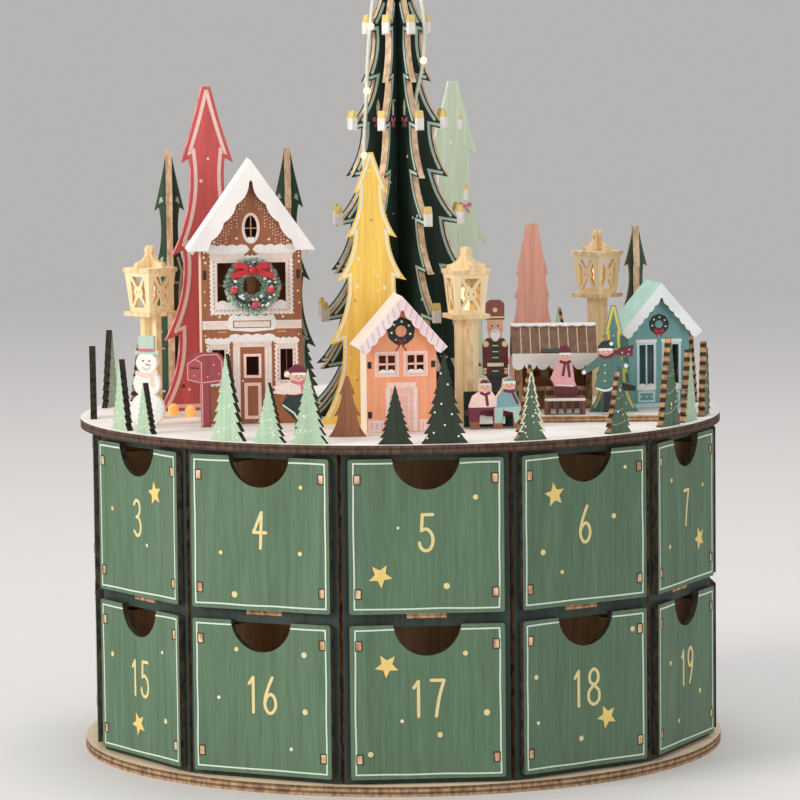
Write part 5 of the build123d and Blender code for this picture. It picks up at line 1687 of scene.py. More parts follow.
class HouseFront:
    """Shapes that the fronts of the houses share."""

    @staticmethod
    def frame(sheet: Print, seat: Seat, span: Span, width: float, colour: Ink, layer: int = 0) -> None:
        """Four bars around an opening.

        Args:
            sheet: the house's print.
            seat: the wall's seat.
            span: the opening's left, right, low and high.
            width: the bars' width.
            colour: their ink.
            layer: inks that they lie over.
        """
        left, right, low, high = span
        bars = ((left - width, left, low - width, high + width),
                (right, right + width, low - width, high + width),
                (left, right, high, high + width), (left, right, low - width, low))
        for bar in bars:
            sheet.rectangle(seat, bar, colour, layer)

    @staticmethod
    def snow_lintel(sheet: Print, seat: Seat, span: Span, layer: int) -> None:
        """A stepped lintel with snow on it, wider at the top.

        Args:
            sheet: the house's print.
            seat: the wall's seat.
            span: left, right, low and high.
            layer: inks that it lies over.
        """
        left, right, low, high = span
        tall = high - low
        under = [(left + 1.5, low), (right - 1.5, low), (right - 1.2, low + 0.3 * tall),
                 (right - 0.4, low + 0.52 * tall), (left + 0.4, low + 0.52 * tall),
                 (left + 1.2, low + 0.3 * tall)]
        sheet.prism(seat, under, Ink.ICING, layer)
        step = low + 0.28 * tall
        sheet.ribbon(seat, [(left + 1.6, step), (right - 1.6, step)], 0.3, Ink.SNOW_SHADE, layer + 1)
        cap = scallop(left, right, low + 0.45 * tall, high - 0.7, 4, 0.7)
        sheet.prism(seat, smooth(cap, 2, True), Ink.WHITE, layer + 2)

    @classmethod
    def lace_frame(cls, sheet: Print, seat: Seat, span: Span, width: float) -> None:
        """A pale frame with a wavy outer edge and a dashed line.

        Args:
            sheet: the house's print.
            seat: the wall's seat.
            span: the opening's left, right, low and high.
            width: the frame's width.
        """
        cls.frame(sheet, seat, span, width, Ink.ICING)
        reach = width - 0.1
        x0, x1, y0, y1 = span[0] - reach, span[1] + reach, span[2] - reach, span[3] + reach
        corners = [(x0, y0), (x1, y0), (x1, y1), (x0, y1)]
        lace, dashes = [], []
        for (ax, ay), (bx, by) in zip(corners, corners[1:] + corners[:1]):
            length = math.hypot(bx - ax, by - ay)
            ux, uy = (bx - ax) / length, (by - ay) / length
            for k in range(round(length / 0.5)):
                out = 0.34 * math.cos(k * math.pi / 2)
                lace.append((ax + ux * 0.5 * k + uy * out, ay + uy * 0.5 * k - ux * out))
            for k in range(1, int(length / 1.9)):
                start = (ax + ux * 1.9 * k - uy * 0.45 * width, ay + uy * 1.9 * k + ux * 0.45 * width)
                dashes.append([start, (start[0] + ux * 1.0, start[1] + uy * 1.0)])
        sheet.ribbon(seat, lace, 0.8, Ink.WHITE, 1, closed=True)
        for dash in dashes:
            sheet.ribbon(seat, dash, 0.3, Ink.BOOT_BROWN, 1)

    @staticmethod
    def bars(sheet: Print, seat: Seat, span: Span, width: float, colour: Ink, cross: bool = True) -> None:
        """The bars that divide a window, set back in its opening.

        Args:
            sheet: the house's print.
            seat: the wall's seat.
            span: the opening's left, right, low and high.
            width: the bars' width.
            colour: their ink.
            cross: whether a level bar crosses the upright one.
        """
        left, right, low, high = span
        x, y, half = (left + right) / 2, (low + high) / 2, width / 2
        sheet.rectangle(seat, (x - half, x + half, low, high), colour, sunk=1.4)
        if cross:
            sheet.rectangle(seat, (left, right, y - half, y + half), colour, sunk=1.3)

    @staticmethod
    def wreath(sheet: Print, seat: Seat, centre: Point, radius: float, hole: float) -> None:
        """A flat painted wreath with berries.

        Args:
            sheet: the house's print.
            seat: the wall's seat.
            centre: its middle.
            radius: its reach.
            hole: radius of its opening.
        """
        middle = (radius + hole) / 2
        ring = [(centre[0] + middle * math.cos(a) * (1 + 0.03 * math.sin(9 * a)),
                 centre[1] + middle * math.sin(a) * (1 + 0.03 * math.sin(9 * a)))
                for a in [2 * math.pi * k / 40 for k in range(40)]]
        sheet.ribbon(seat, ring, radius - hole, Ink.WREATH_GREEN, 1, closed=True)
        for k in range(7):
            angle = 2 * math.pi * k / 7 + 0.6
            spot = (centre[0] + middle * math.cos(angle), centre[1] + middle * math.sin(angle))
            sheet.disc(seat, spot, 0.09 * radius, Ink.WHITE, 2)


@dataclass
class BrownHouse(HouseFront):
    """The tall gingerbread house with its wreath."""

    width: float = 46.0
    eave: float = 83.3
    gable: float = 115.8
    wreath_up: float = 63.8
    wreath_radius: float = 13.0
    wreath_tube: float = 4.4
    needles: int = 6400
    wall: BoardPaint = BoardPaint("gingerbread", (160, 99, 64), 0.1)
    side_wall: BoardPaint = BoardPaint("house_side", (238, 204, 180), 0.08)
    barge: SnowPaint = SnowPaint("barge_snow", (246, 243, 238), (234, 230, 226))

    def dress(self) -> None:
        """Paint the walls and roof, print the front and hang the wreath."""
        walls = BoardMesh("brown_house_walls")
        seat = PLACES["brown_house"].front(walls)
        walls.paint(lambda face: self._wall(face, seat))
        roof = BoardMesh("brown_house_roof")
        roof.paint(lambda face: PALE_EDGE.material() if face.is_edge else self.barge.material())
        sheet = Print("brown_house_print", CALENDAR, "brown_paint")
        self._windows(sheet, seat)
        self._icing(sheet, seat)
        sheet.finish()
        self._wreath(seat)

    def _wall(self, face: FlatFace, seat: Seat) -> bpy.types.Material:
        """Gables are brown, the sides pale.

        Args:
            face: a flat face.
            seat: the front's seat.
        Returns:
            The face's material.
        """
        if face.is_edge:
            return PALE_EDGE.material()
        return (self.side_wall if abs(face.out.dot(seat.out)) < 0.5 else self.wall).material()

    def _windows(self, sheet: Print, seat: Seat) -> None:
        """Frames, muntins, lintels, the band and the bare sign.

        Args:
            sheet: the house's print.
            seat: the front's seat.
        """
        spans = [pane(shares, self.width, self.gable) for shares in BROWN_WINDOWS]
        left, right, door = spans[:3]
        self.lace_frame(sheet, seat, (left[0], right[1], left[2], left[3]), 2.9)
        for span, lintel in ((left, (-20.2, -1.9)), (right, (1.9, 20.2))):
            self.bars(sheet, seat, span, 0.6, Ink.HAIR_BROWN)
            sheet.prism(seat, scallop(span[0], span[1], span[2] - 0.6, span[2] + 2.2, 3, 1.0), Ink.WHITE, 2)
            self.snow_lintel(sheet, seat, (*lintel, span[3] + 1.4, span[3] + 8.4), 2)
        for span in spans[3:]:
            self.lace_frame(sheet, seat, span, 2.0)
            self.bars(sheet, seat, span, 0.5, Ink.HAIR_BROWN, False)
            middle = (span[0] + span[1]) / 2
            self.snow_lintel(sheet, seat, (middle - 5.4, middle + 5.4, span[3] + 0.5, span[3] + 5.5), 2)
        self._door(sheet, seat, door)
        self._band(sheet, seat)
        left, right, low, top = pane(BROWN_OVAL, self.width, self.gable)
        x, y, half, high = (left + right) / 2, (low + top) / 2, (right - left) / 2, (top - low) / 2
        ring = [(x + (half + 0.5) * math.cos(a), y + (high + 0.5) * math.sin(a))
                for a in [2 * math.pi * k / 36 for k in range(36)]]
        sheet.ribbon(seat, ring, 1.3, Ink.ICING, 1, closed=True)
        self.bars(sheet, seat, (x - half, x + half, y - high, y + high), 0.4, Ink.WOOD_TAN)
        sheet.prism(seat, scallop(x - 1.7, x + 1.7, y - high - 0.5, y - high + 1.4, 2, 0.6), Ink.WHITE, 2)

    def _door(self, sheet: Print, seat: Seat, glass: Span) -> None:
        """Posts, lintel, the frame of the glass and the lower panel.

        Args:
            sheet: the house's print.
            seat: the front's seat.
            glass: left, right, low and high of the opening in the door.
        """
        for side in (-1, 1):
            posts = sorted((side * 5.6, side * 8.9))
            sheet.rectangle(seat, (posts[0], posts[1], 0.2, 36.0), Ink.ICING)
            for x in (6.5, 8.0):
                sheet.rectangle(seat, (side * x - 0.2, side * x + 0.2, 1.0, 35.2), Ink.WHITE, 1)
        self.snow_lintel(sheet, seat, (-10.0, 10.0, 35.3, 41.4), 3)
        self.frame(sheet, seat, glass, 1.2, Ink.PALE_PINK)
        self.frame(sheet, seat, (-2.4, 2.4, 3.7, 17.4), 1.5, Ink.PALE_PINK)
        sheet.disc(seat, (-4.5, 19.8), 0.5, Ink.CREAM, 1)

    def _band(self, sheet: Print, seat: Seat) -> None:
        """The band between the floors, the bare sign under its snow and the dark ends of the floor's tabs.

        Args:
            sheet: the house's print.
            seat: the front's seat.
        """
        half = self.width / 2 - 0.3
        sheet.rectangle(seat, (-half, half, 43.6, 47.5), Ink.ICING)
        for up in (43.9, 47.2):
            sheet.ribbon(seat, [(-half, up), (half, up)], 0.3, Ink.WHITE, 1)
        sheet.prism(seat, smooth(scallop(-10.2, 10.2, 43.1, 49.5, 5, 0.7), 2, True), Ink.WHITE, 2, 0.2)
        sheet.rectangle(seat, (-8.7, 8.7, 44.1, 47.5), Ink.BOOT_BROWN, 3, 0.2)
        sheet.rectangle(seat, (-8.2, 8.2, 44.5, 47.1), Ink.ICING, 4, 0.2)
        for side in (-1, 1):
            sheet.rectangle(seat, (side * 21.4 - 0.8, side * 21.4 + 0.8, 66.4, 70.6), Ink.SLOT_DARK)
            sheet.ribbon(seat, [(side * 12.0, 42.3), (side * 15.4, 42.3)], 0.7, Ink.WOOD_TAN)

    def _icing(self, sheet: Print, seat: Seat) -> None:
        """Fine drips under the gable and icing dots.

        Args:
            sheet: the house's print.
            seat: the front's seat.
        """
        dice = random.Random(5)
        steep = (self.gable - self.eave) / (self.width / 2)
        for side in (-1, 1):
            for k in range(13):
                x = side * (2.6 + 1.25 * k)
                top = self.gable - abs(x) * steep - 8.4 - 0.5 * (k % 2)
                for drip in range(3 + (k * 5) % 4):
                    if abs(x) > 5.4 or top - 1.5 * drip > 98.4:
                        sheet.disc(seat, (x, top - 1.5 * drip), 0.3, Ink.PALE_PINK)
        for side in (-1, 1):
            for up in (78.6, 76.4, 74.2, 60.4, 55.0, 41.2, 38.6, 12.0, 7.4):
                spot = (side * dice.uniform(21.0, 21.8), up + dice.uniform(-0.5, 0.5))
                sheet.disc(seat, spot, dice.uniform(0.35, 0.6), Ink.CREAM)
        for spot in ((-6.6, 85.2), (8.2, 84.6), (-14.8, 49.3), (14.2, 49.1), (16.8, 83.8), (-17.0, 83.6)):
            sheet.disc(seat, spot, 0.6, Ink.CREAM)

    def _wreath(self, seat: Seat) -> None:
        """A bottle-brush wreath with frosted needles, berries and a bow, in place of its plain ring.

        Args:
            seat: the front's seat.
        """
        dice = random.Random(11)
        hub = seat.at(0, self.wreath_up, self.wreath_tube + 0.4)
        mesh = bmesh.new()
        ring_radius = (self.wreath_radius - self.wreath_tube) * MM
        for k in range(self.needles):
            turn = 2 * math.pi * k / self.needles
            radial = seat.right * math.cos(turn) + seat.up * math.sin(turn)
            along = seat.up * math.cos(turn) - seat.right * math.sin(turn)
            angle = dice.uniform(0, 2 * math.pi)
            away = radial * math.cos(angle) + seat.out * math.sin(angle)
            reach = dice.uniform(2.6, 5.0) * MM * (0.7 if away.dot(seat.out) < -0.4 else 1.0)
            root = hub + radial * ring_radius
            tip = root + (away + along * dice.uniform(-0.5, 0.5)).normalized() * reach
            side = away.cross(along).normalized() * 0.16 * MM + along * 0.14 * MM
            middle = root.lerp(tip, 0.62)
            rows = [[mesh.verts.new(p - side * s), mesh.verts.new(p + side * s)]
                    for p, s in ((root, 1.0), (middle, 1.1), (tip, 0.9))]
            frosted = dice.random() < 0.62
            for (a, b), (c, d), tint in zip(rows, rows[1:], (dice.choice((0, 0, 3)), 2 if frosted else 1)):
                mesh.faces.new((a, b, d, c)).material_index = tint
        data = bpy.data.meshes.new("brown_house_wreath_needles")
        mesh.to_mesh(data)
        mesh.free()
        for name, colour in (("needle_green", (52, 86, 66)), ("needle_mint", (150, 190, 166)),
                             ("needle_frost", (224, 234, 222)), ("needle_shade", (26, 42, 32))):
            data.materials.append(SolidColour(name, colour, 0.15, 0.7).material())
        wreath = bpy.data.objects.new("brown_house_wreath_needles", data)
        bpy.context.scene.collection.objects.link(wreath)
        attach(wreath, CALENDAR)
        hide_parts("brown_house_wreath")
        self._trimmings(seat, dice)

    def _trimmings(self, seat: Seat, dice: random.Random) -> None:
        """Berries and the ribbon bow of the wreath.

        Args:
            seat: the front's seat.
            dice: the wreath's own random numbers.
        """
        mesh = bmesh.new()
        middle = self.wreath_radius - self.wreath_tube
        berries = [(-168, 1.9, 0), (-12, 1.9, 0), (-82, 1.9, 0), (-174, 1.2, 1), (-4, 1.1, 1), (-76, 1.2, 1)]
        berries += [(dice.uniform(0, 360), dice.uniform(0.5, 0.9), 2) for _ in range(34)]
        for angle, radius, kind in berries:
            turn = math.radians(angle)
            reach = middle + dice.uniform(-2.6, 2.6) * (kind == 2)
            spot = seat.at(reach * math.cos(turn), self.wreath_up + reach * math.sin(turn),
                           2 * self.wreath_tube + dice.uniform(-0.6, 0.4))
            self._ball(mesh, Matrix.Translation(spot) @ Matrix.Diagonal((1, 1, 0.92, 1)), radius, kind)
        self._ribbon(mesh, seat)
        data = bpy.data.meshes.new("brown_house_wreath_bow")
        mesh.to_mesh(data)
        mesh.free()
        for name, colour in (("berry_red", (206, 66, 76)), ("berry_pink", (236, 158, 154)),
                             ("berry_frost", (232, 240, 234)), ("ribbon_red", Ink.BOW_RED.value)):
            data.materials.append(SolidColour(name, colour, 0.1, 0.42).material())
        bow = bpy.data.objects.new("brown_house_wreath_bow", data)
        bpy.context.scene.collection.objects.link(bow)
        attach(bow, CALENDAR)

    def _ribbon(self, mesh: bmesh.types.BMesh, seat: Seat) -> None:
        """Two puffed loops, two tails and the knot.

        Args:
            mesh: mesh that takes the ribbon.
            seat: the front's seat.
        """
        up, front = self.wreath_up + 7.2, 2 * self.wreath_tube + 0.9
        lines = []
        for side in (-1, 1):
            loop = [(0, 0, 0), (2.4, 1.2, 1.2), (5.6, 2.6, 1.4), (8.0, 2.2, 0.5), (7.0, 0.2, -0.8),
                    (3.6, -0.4, -0.4), (0, 0, 0)]
            tail = [(0, 0, 0.4), (2.6, -0.6, 0.9), (5.6, -1.5, 0.8), (9.8, -2.6, 0.1)]
            lines += [[(side * x, y, z) for x, y, z in line] for line in (loop, tail)]
        for line in lines:
            across = smooth([(x, y) for x, y, _ in line], 5)
            depth = smooth([(z, 0.0) for _, _, z in line], 5)
            rows = []
            for (x, y), (z, _) in zip(across, depth):
                rows.append([mesh.verts.new(seat.at(x, y + up + lift, z + front))
                             for lift in (-1.35, 0, 1.35)])
            for first, second in zip(rows, rows[1:]):
                for k in range(2):
                    face = mesh.faces.new((first[k], second[k], second[k + 1], first[k + 1]))
                    face.material_index = 3
                    face.smooth = True
        self._ball(mesh, Matrix.Translation(seat.at(0, up, front + 0.8)), 1.9, 3)

    @staticmethod
    def _ball(mesh: bmesh.types.BMesh, place: Matrix, radius: float, kind: int) -> None:
        """A smooth ball.

        Args:
            mesh: mesh that takes the ball.
            place: where it is, and how it is squashed.
            radius: its radius in millimetres.
            kind: number of its material.
        """
        made = bmesh.ops.create_icosphere(mesh, subdivisions=2, radius=radius * MM, matrix=place)
        for face in {f for v in made["verts"] for f in v.link_faces}:
            face.material_index = kind
            face.smooth = True


def barge_seat(board: BoardMesh, seat: Seat) -> Seat:
    """The seat on a barge board, straight in front of a wall.

    Args:
        board: the roof's mesh.
        seat: the wall's seat.
    Returns:
        The wall's seat moved forward onto the barge board.
    """
    depth = max(((face.centre - seat.origin).dot(seat.out) for face in board.faces
                 if face.out.dot(seat.out) > 0.995 and not face.is_edge), default=0.0)
    return Seat(seat.origin + seat.out * depth, seat.right, seat.up, seat.out)


@dataclass
class PeachHouse(HouseFront):
    """The small peach house with a sugar-stripe roof edge."""

    width: float = 31.6
    eave: float = 39.0
    gable: float = 56.8
    barge_drop: float = 4.0
    wall: BoardPaint = BoardPaint("peach_wall", (253, 168, 126), 0.06)
    side_wall: BoardPaint = BoardPaint("peach_side", (252, 232, 206), 0.06)
    roof_top: BoardPaint = BoardPaint("peach_roof", (252, 222, 208), 0.06)
    barge: SnowPaint = SnowPaint("peach_barge", (250, 232, 230), (244, 216, 214))

    def dress(self) -> None:
        """Paint the walls and roof and print the front."""
        walls = BoardMesh("peach_house_walls")
        seat = PLACES["peach_house"].front(walls)
        walls.paint(lambda face: self._wall(face, seat))
        roof = BoardMesh("peach_house_roof")
        front = barge_seat(roof, seat)
        roof.paint(lambda face: self._roof(face, front))
        sheet = Print("peach_house_print", CALENDAR, "peach_paint")
        self._front(sheet, seat)
        self._stripes(sheet, front)
        sheet.finish()

    def _wall(self, face: FlatFace, seat: Seat) -> bpy.types.Material:
        """Gables are peach, the sides cream.

        Args:
            face: a flat face.
            seat: the front's seat.
        Returns:
            The face's material.
        """
        if face.is_edge:
            return PALE_EDGE.material()
        return (self.side_wall if abs(face.out.dot(seat.out)) < 0.5 else self.wall).material()

    def _roof(self, face: FlatFace, front: Seat) -> bpy.types.Material:
        """The barge board is sugar white, the roof pale pink.

        Args:
            face: a flat face.
            front: the barge board's seat.
        Returns:
            The face's material.
        """
        if face.is_edge:
            return self.barge.material() if face.out.z > 0.2 else PALE_EDGE.material()
        return (self.barge if abs(face.out.dot(front.out)) > 0.9 else self.roof_top).material()

    def _front(self, sheet: Print, seat: Seat) -> None:
        """Windows, door, wreath, fence and tab slots.

        Args:
            sheet: the house's print.
            seat: the front's seat.
        """
        for shares in PEACH_WINDOWS:
            span = pane(shares, self.width, self.gable)
            self.frame(sheet, seat, span, 1.0, Ink.DOOR_PINK)
            outer = (span[0] - 1.0, span[1] + 1.0, span[2] - 1.0, span[3] + 1.0)
            self.frame(sheet, seat, outer, 0.8, Ink.PALE_PINK, 1)
            self.bars(sheet, seat, span, 0.9, Ink.DOOR_PINK)
            sheet.prism(seat, scallop(span[0], span[1], span[2] - 0.2, span[2] + 0.7, 2, 0.9), Ink.WHITE, 2)
        sheet.rectangle(seat, (-6.6, 6.6, 20.0, 22.4), Ink.PALE_PINK, 1)
        for side in (-1, 1):
            sheet.rectangle(seat, (side * 6.2 - 1.1, side * 6.2 + 1.1, 0.2, 20.0), Ink.PALE_PINK, 1)
            sheet.rectangle(seat, (side * 6.2 - 0.3, side * 6.2 + 0.3, 0.8, 19.4), Ink.WHITE, 2)
        sheet.rectangle(seat, (-5.0, 5.0, 0.2, 20.0), Ink.DOOR_PINK)
        self.frame(sheet, seat, (-3.0, 3.0, 3.4, 16.4), 0.6, Ink.PALE_PINK, 1)
        sheet.disc(seat, (3.9, 9.6), 0.45, Ink.GOLD, 1)
        self.wreath(sheet, seat, (0, 45.4), 6.1, 2.6)
        sheet.bow(seat, (0, 41.4), 2.2, Ink.MAROON, 3)
        for side in (-1, 1):
            sheet.ribbon(seat, [(0, 41.2), (side * 0.9, 38.6), (side * 2.4, 36.6)], 0.45, Ink.MAROON, 3)
            for up in (8.0, 30.4):
                slot = (side * 14.4 - 0.9, side * 14.4 + 0.9, up - 1.5, up + 1.5)
                sheet.rectangle(seat, slot, Ink.SLOT_DARK)
            spans = (8.0, 15.2) if side > 0 else (-15.2, -8.0)
            sheet.rectangle(seat, (spans[0], spans[1], 0.2, 5.6), Ink.PALE_PINK)
            for k in range(3):
                x = spans[0] + 1.3 + 2.3 * k
                sheet.rectangle(seat, (x, x + 0.5, 1.4, 4.6), Ink.LILAC, 1)

    def _stripes(self, sheet: Print, seat: Seat) -> None:
        """Slanted stripes along the barge board.

        Args:
            sheet: the house's print.
            seat: the barge board's seat.
        """
        steep = (self.gable - self.eave) / (self.width / 2)
        length = math.hypot(steep, 1)
        drop = self.barge_drop - 0.5
        for side in (-1, 1):
            for k in range(8):
                x = 1.6 + 2.35 * k
                top = self.gable + 3.0 * length - x * steep - 0.4
                foot = top - drop * length * 0.92
                line = [(side * (x + 0.5), top - 0.6), (side * (x + 0.1), (top + foot) / 2),
                        (side * (x - 0.6), foot)]
                sheet.ribbon(seat, smooth(line, 3), 0.42, Ink.LILAC)


@dataclass
class TealHouse(HouseFront):
    """The teal house on the platform."""

    width: float = 29.0
    gable: float = 53.8
    wall: BoardPaint = BoardPaint("teal_wall", (118, 166, 164), 0.07)
    side_wall: BoardPaint = BoardPaint("teal_side", (96, 148, 150), 0.08)
    roof_top: BoardPaint = BoardPaint("mint_roof", (172, 208, 196), 0.07)
    barge: SnowPaint = SnowPaint("teal_barge", (240, 244, 244), (226, 232, 234))

    def dress(self) -> None:
        """Paint the walls and roof and print the front."""
        walls = BoardMesh("teal_house_walls")
        seat = PLACES["teal_house"].front(walls)
        walls.paint(lambda face: PALE_EDGE.material() if face.is_edge else (
            self.side_wall if abs(face.out.dot(seat.out)) < 0.5 else self.wall).material())
        roof = BoardMesh("teal_house_roof")
        roof.paint(lambda face: PALE_EDGE.material() if face.is_edge and face.out.z < 0.2 else (
            self.barge if face.is_edge or abs(face.out.dot(seat.out)) > 0.9 else self.roof_top).material())
        sheet = Print("teal_house_print", CALENDAR, "teal_paint")
        for shares in TEAL_WINDOWS:
            span = pane(shares, self.width, self.gable)
            left, right, low, high = span
            self.frame(sheet, seat, span, 1.1, Ink.PALE_BLUE)
            self.bars(sheet, seat, span, 0.6, Ink.PALE_BLUE, False)
            sheet.rectangle(seat, (left - 1.5, right + 1.5, high + 1.1, high + 2.5), Ink.WHITE, 1)
            sill = scallop(left - 0.6, right + 0.6, low - 1.3, low + 0.9, 2, 0.9)
            sheet.prism(seat, smooth(sill, 2, True), Ink.WHITE, 2)
            sheet.rectangle(seat, (left - 0.6, right + 0.6, 2.8, low - 1.8), Ink.PALE_BLUE)
            sheet.rectangle(seat, (left + 0.3, right - 0.3, 3.7, low - 2.7), Ink.TEAL_CLOTH, 1)
            for k in range(3):
                x = left + 0.8 + (right - left - 1.6) * k / 2
                sheet.star(seat, (x, (low + 1.0) / 2), 0.7, Ink.PALE_BLUE, 0, 2)
        self.wreath(sheet, seat, (0, 38.9), 4.7, 1.9)
        sheet.bow(seat, (0, 35.6), 2.3, Ink.BOW_RED, 3)
        sheet.rectangle(seat, (-14.2, 14.2, 0.2, 2.2), Ink.PALE_BLUE)
        sheet.finish()


@dataclass
class MarketStall:
    """The market stall: planked roof, snow on the ridge and canopy, and warm light painted inside."""

    wood: BoardPaint = BoardPaint("stall_wood", (120, 82, 56), 0.16)
    # The inside of the back wall: warm wood colour lightened by painted warm light.
    inner: BoardPaint = BoardPaint("stall_inside_warm_light", (214, 148, 86), 0.12)
    snow: SnowPaint = SnowPaint("stall_snow", (248, 243, 238), (236, 229, 222))

    def dress(self) -> None:
        """Paint the stall and print its planks."""
        seat = PLACES["stall"].seat()
        walls = BoardMesh("market_stall_walls")
        walls.paint(lambda face: PALE_EDGE.material() if face.is_edge else (
            self.inner if face.out.dot(seat.out) > 0.9 and (face.centre - seat.origin).dot(seat.out) < 0
            else self.wood).material())
        roof = BoardMesh("market_stall_roof")
        roof.paint(lambda face: self._roof(face, seat))
        sheet = Print("market_stall_print", CALENDAR, "stall_wood")
        for face in roof.faces:
            if not face.is_edge and 0.2 < face.out.z < 0.98 and face.out.dot(seat.out) > 0.2:
                self._planks(sheet, Seat.on(face), face)
        for face in walls.faces:
            depth = (face.centre - seat.origin).dot(seat.out) / MM
            if face.out.dot(seat.out) > 0.99 and not face.is_edge:
                place = Seat.on(face)
                spots = [place.flat(p) for p in face.outline()]
                wide, tall = max(x for x, _ in spots), max(y for _, y in spots)
                if depth > 0:
                    for k in range(7):
                        x = -wide + 2 * wide * (k + 0.5) / 7
                        sheet.ribbon(place, [(x, -tall + 0.4), (x, tall - 0.4)], 0.4, Ink.PLANK_LINE)
                else:
                    # An amber panel on the back wall: painted glow of warm light, with no lamp in the stall.
                    sheet.rectangle(place, (-wide + 3, wide - 3, -tall + 12, tall - 4), Ink.AMBER)
                    for k in range(5):
                        x = -wide + 7 + (2 * wide - 14) * k / 4
                        ware = (Ink.BOW_RED, Ink.CREAM, Ink.DARK_GREEN)[k % 3]
                        sheet.disc(place, (x, -tall + 15), 1.6, ware, 1)
        sheet.finish()

    def _roof(self, face: FlatFace, seat: Seat) -> bpy.types.Material:
        """Planks on the slopes, snow on the canopy.

        Args:
            face: a flat face.
            seat: the stall's seat.
        Returns:
            The face's material.
        """
        if face.out.dot(seat.out) > 0.99:
            return self.snow.material()
        return (PALE_EDGE if face.is_edge else self.wood).material()

    def _planks(self, sheet: Print, seat: Seat, face: FlatFace) -> None:
        """Pale joints between the planks, snow along the ridge and a bare sign board.

        Args:
            sheet: the stall's print.
            seat: the roof slope's seat.
            face: the roof slope.
        """
        spots = [seat.flat(p) for p in face.outline()]
        wide, low, high = max(x for x, _ in spots), min(y for _, y in spots), max(y for _, y in spots)
        for k in range(1, 9):
            x = -wide + 2 * wide * k / 9
            sheet.ribbon(seat, [(x, low + 0.3), (x, high - 1.2)], 0.55, Ink.PLANK_LINE)
        snow = [(-wide, high), (-wide, high - 1.6)]
        snow += [(-wide + 2 * wide * t, high - 1.6 - 0.7 * abs(math.sin(math.pi * 7 * t)))
                 for t in [k / 40 for k in range(41)]]
        snow += [(wide, high)]
        sheet.prism(seat, snow, Ink.WHITE, 1, 0.5)
        sheet.rectangle(seat, (-6.4, 6.4, low + 1.2, low + 3.8), Ink.DARK_GREEN, 2, 0.8)


@dataclass
class StreetLamps:
    """Posts and lanterns of pale wood."""

    wood: BoardPaint = BoardPaint("lamp_wood", (253, 226, 180), 0.07)
    edge: BurntEdge = BurntEdge("lamp_edge", (224, 184, 134), (250, 224, 182))

    def dress(self) -> None:
        """Oil the wood."""
        for node in ("lamp_posts", "lanterns"):
            BoardMesh(node).paint_boards(self.wood, self.edge)


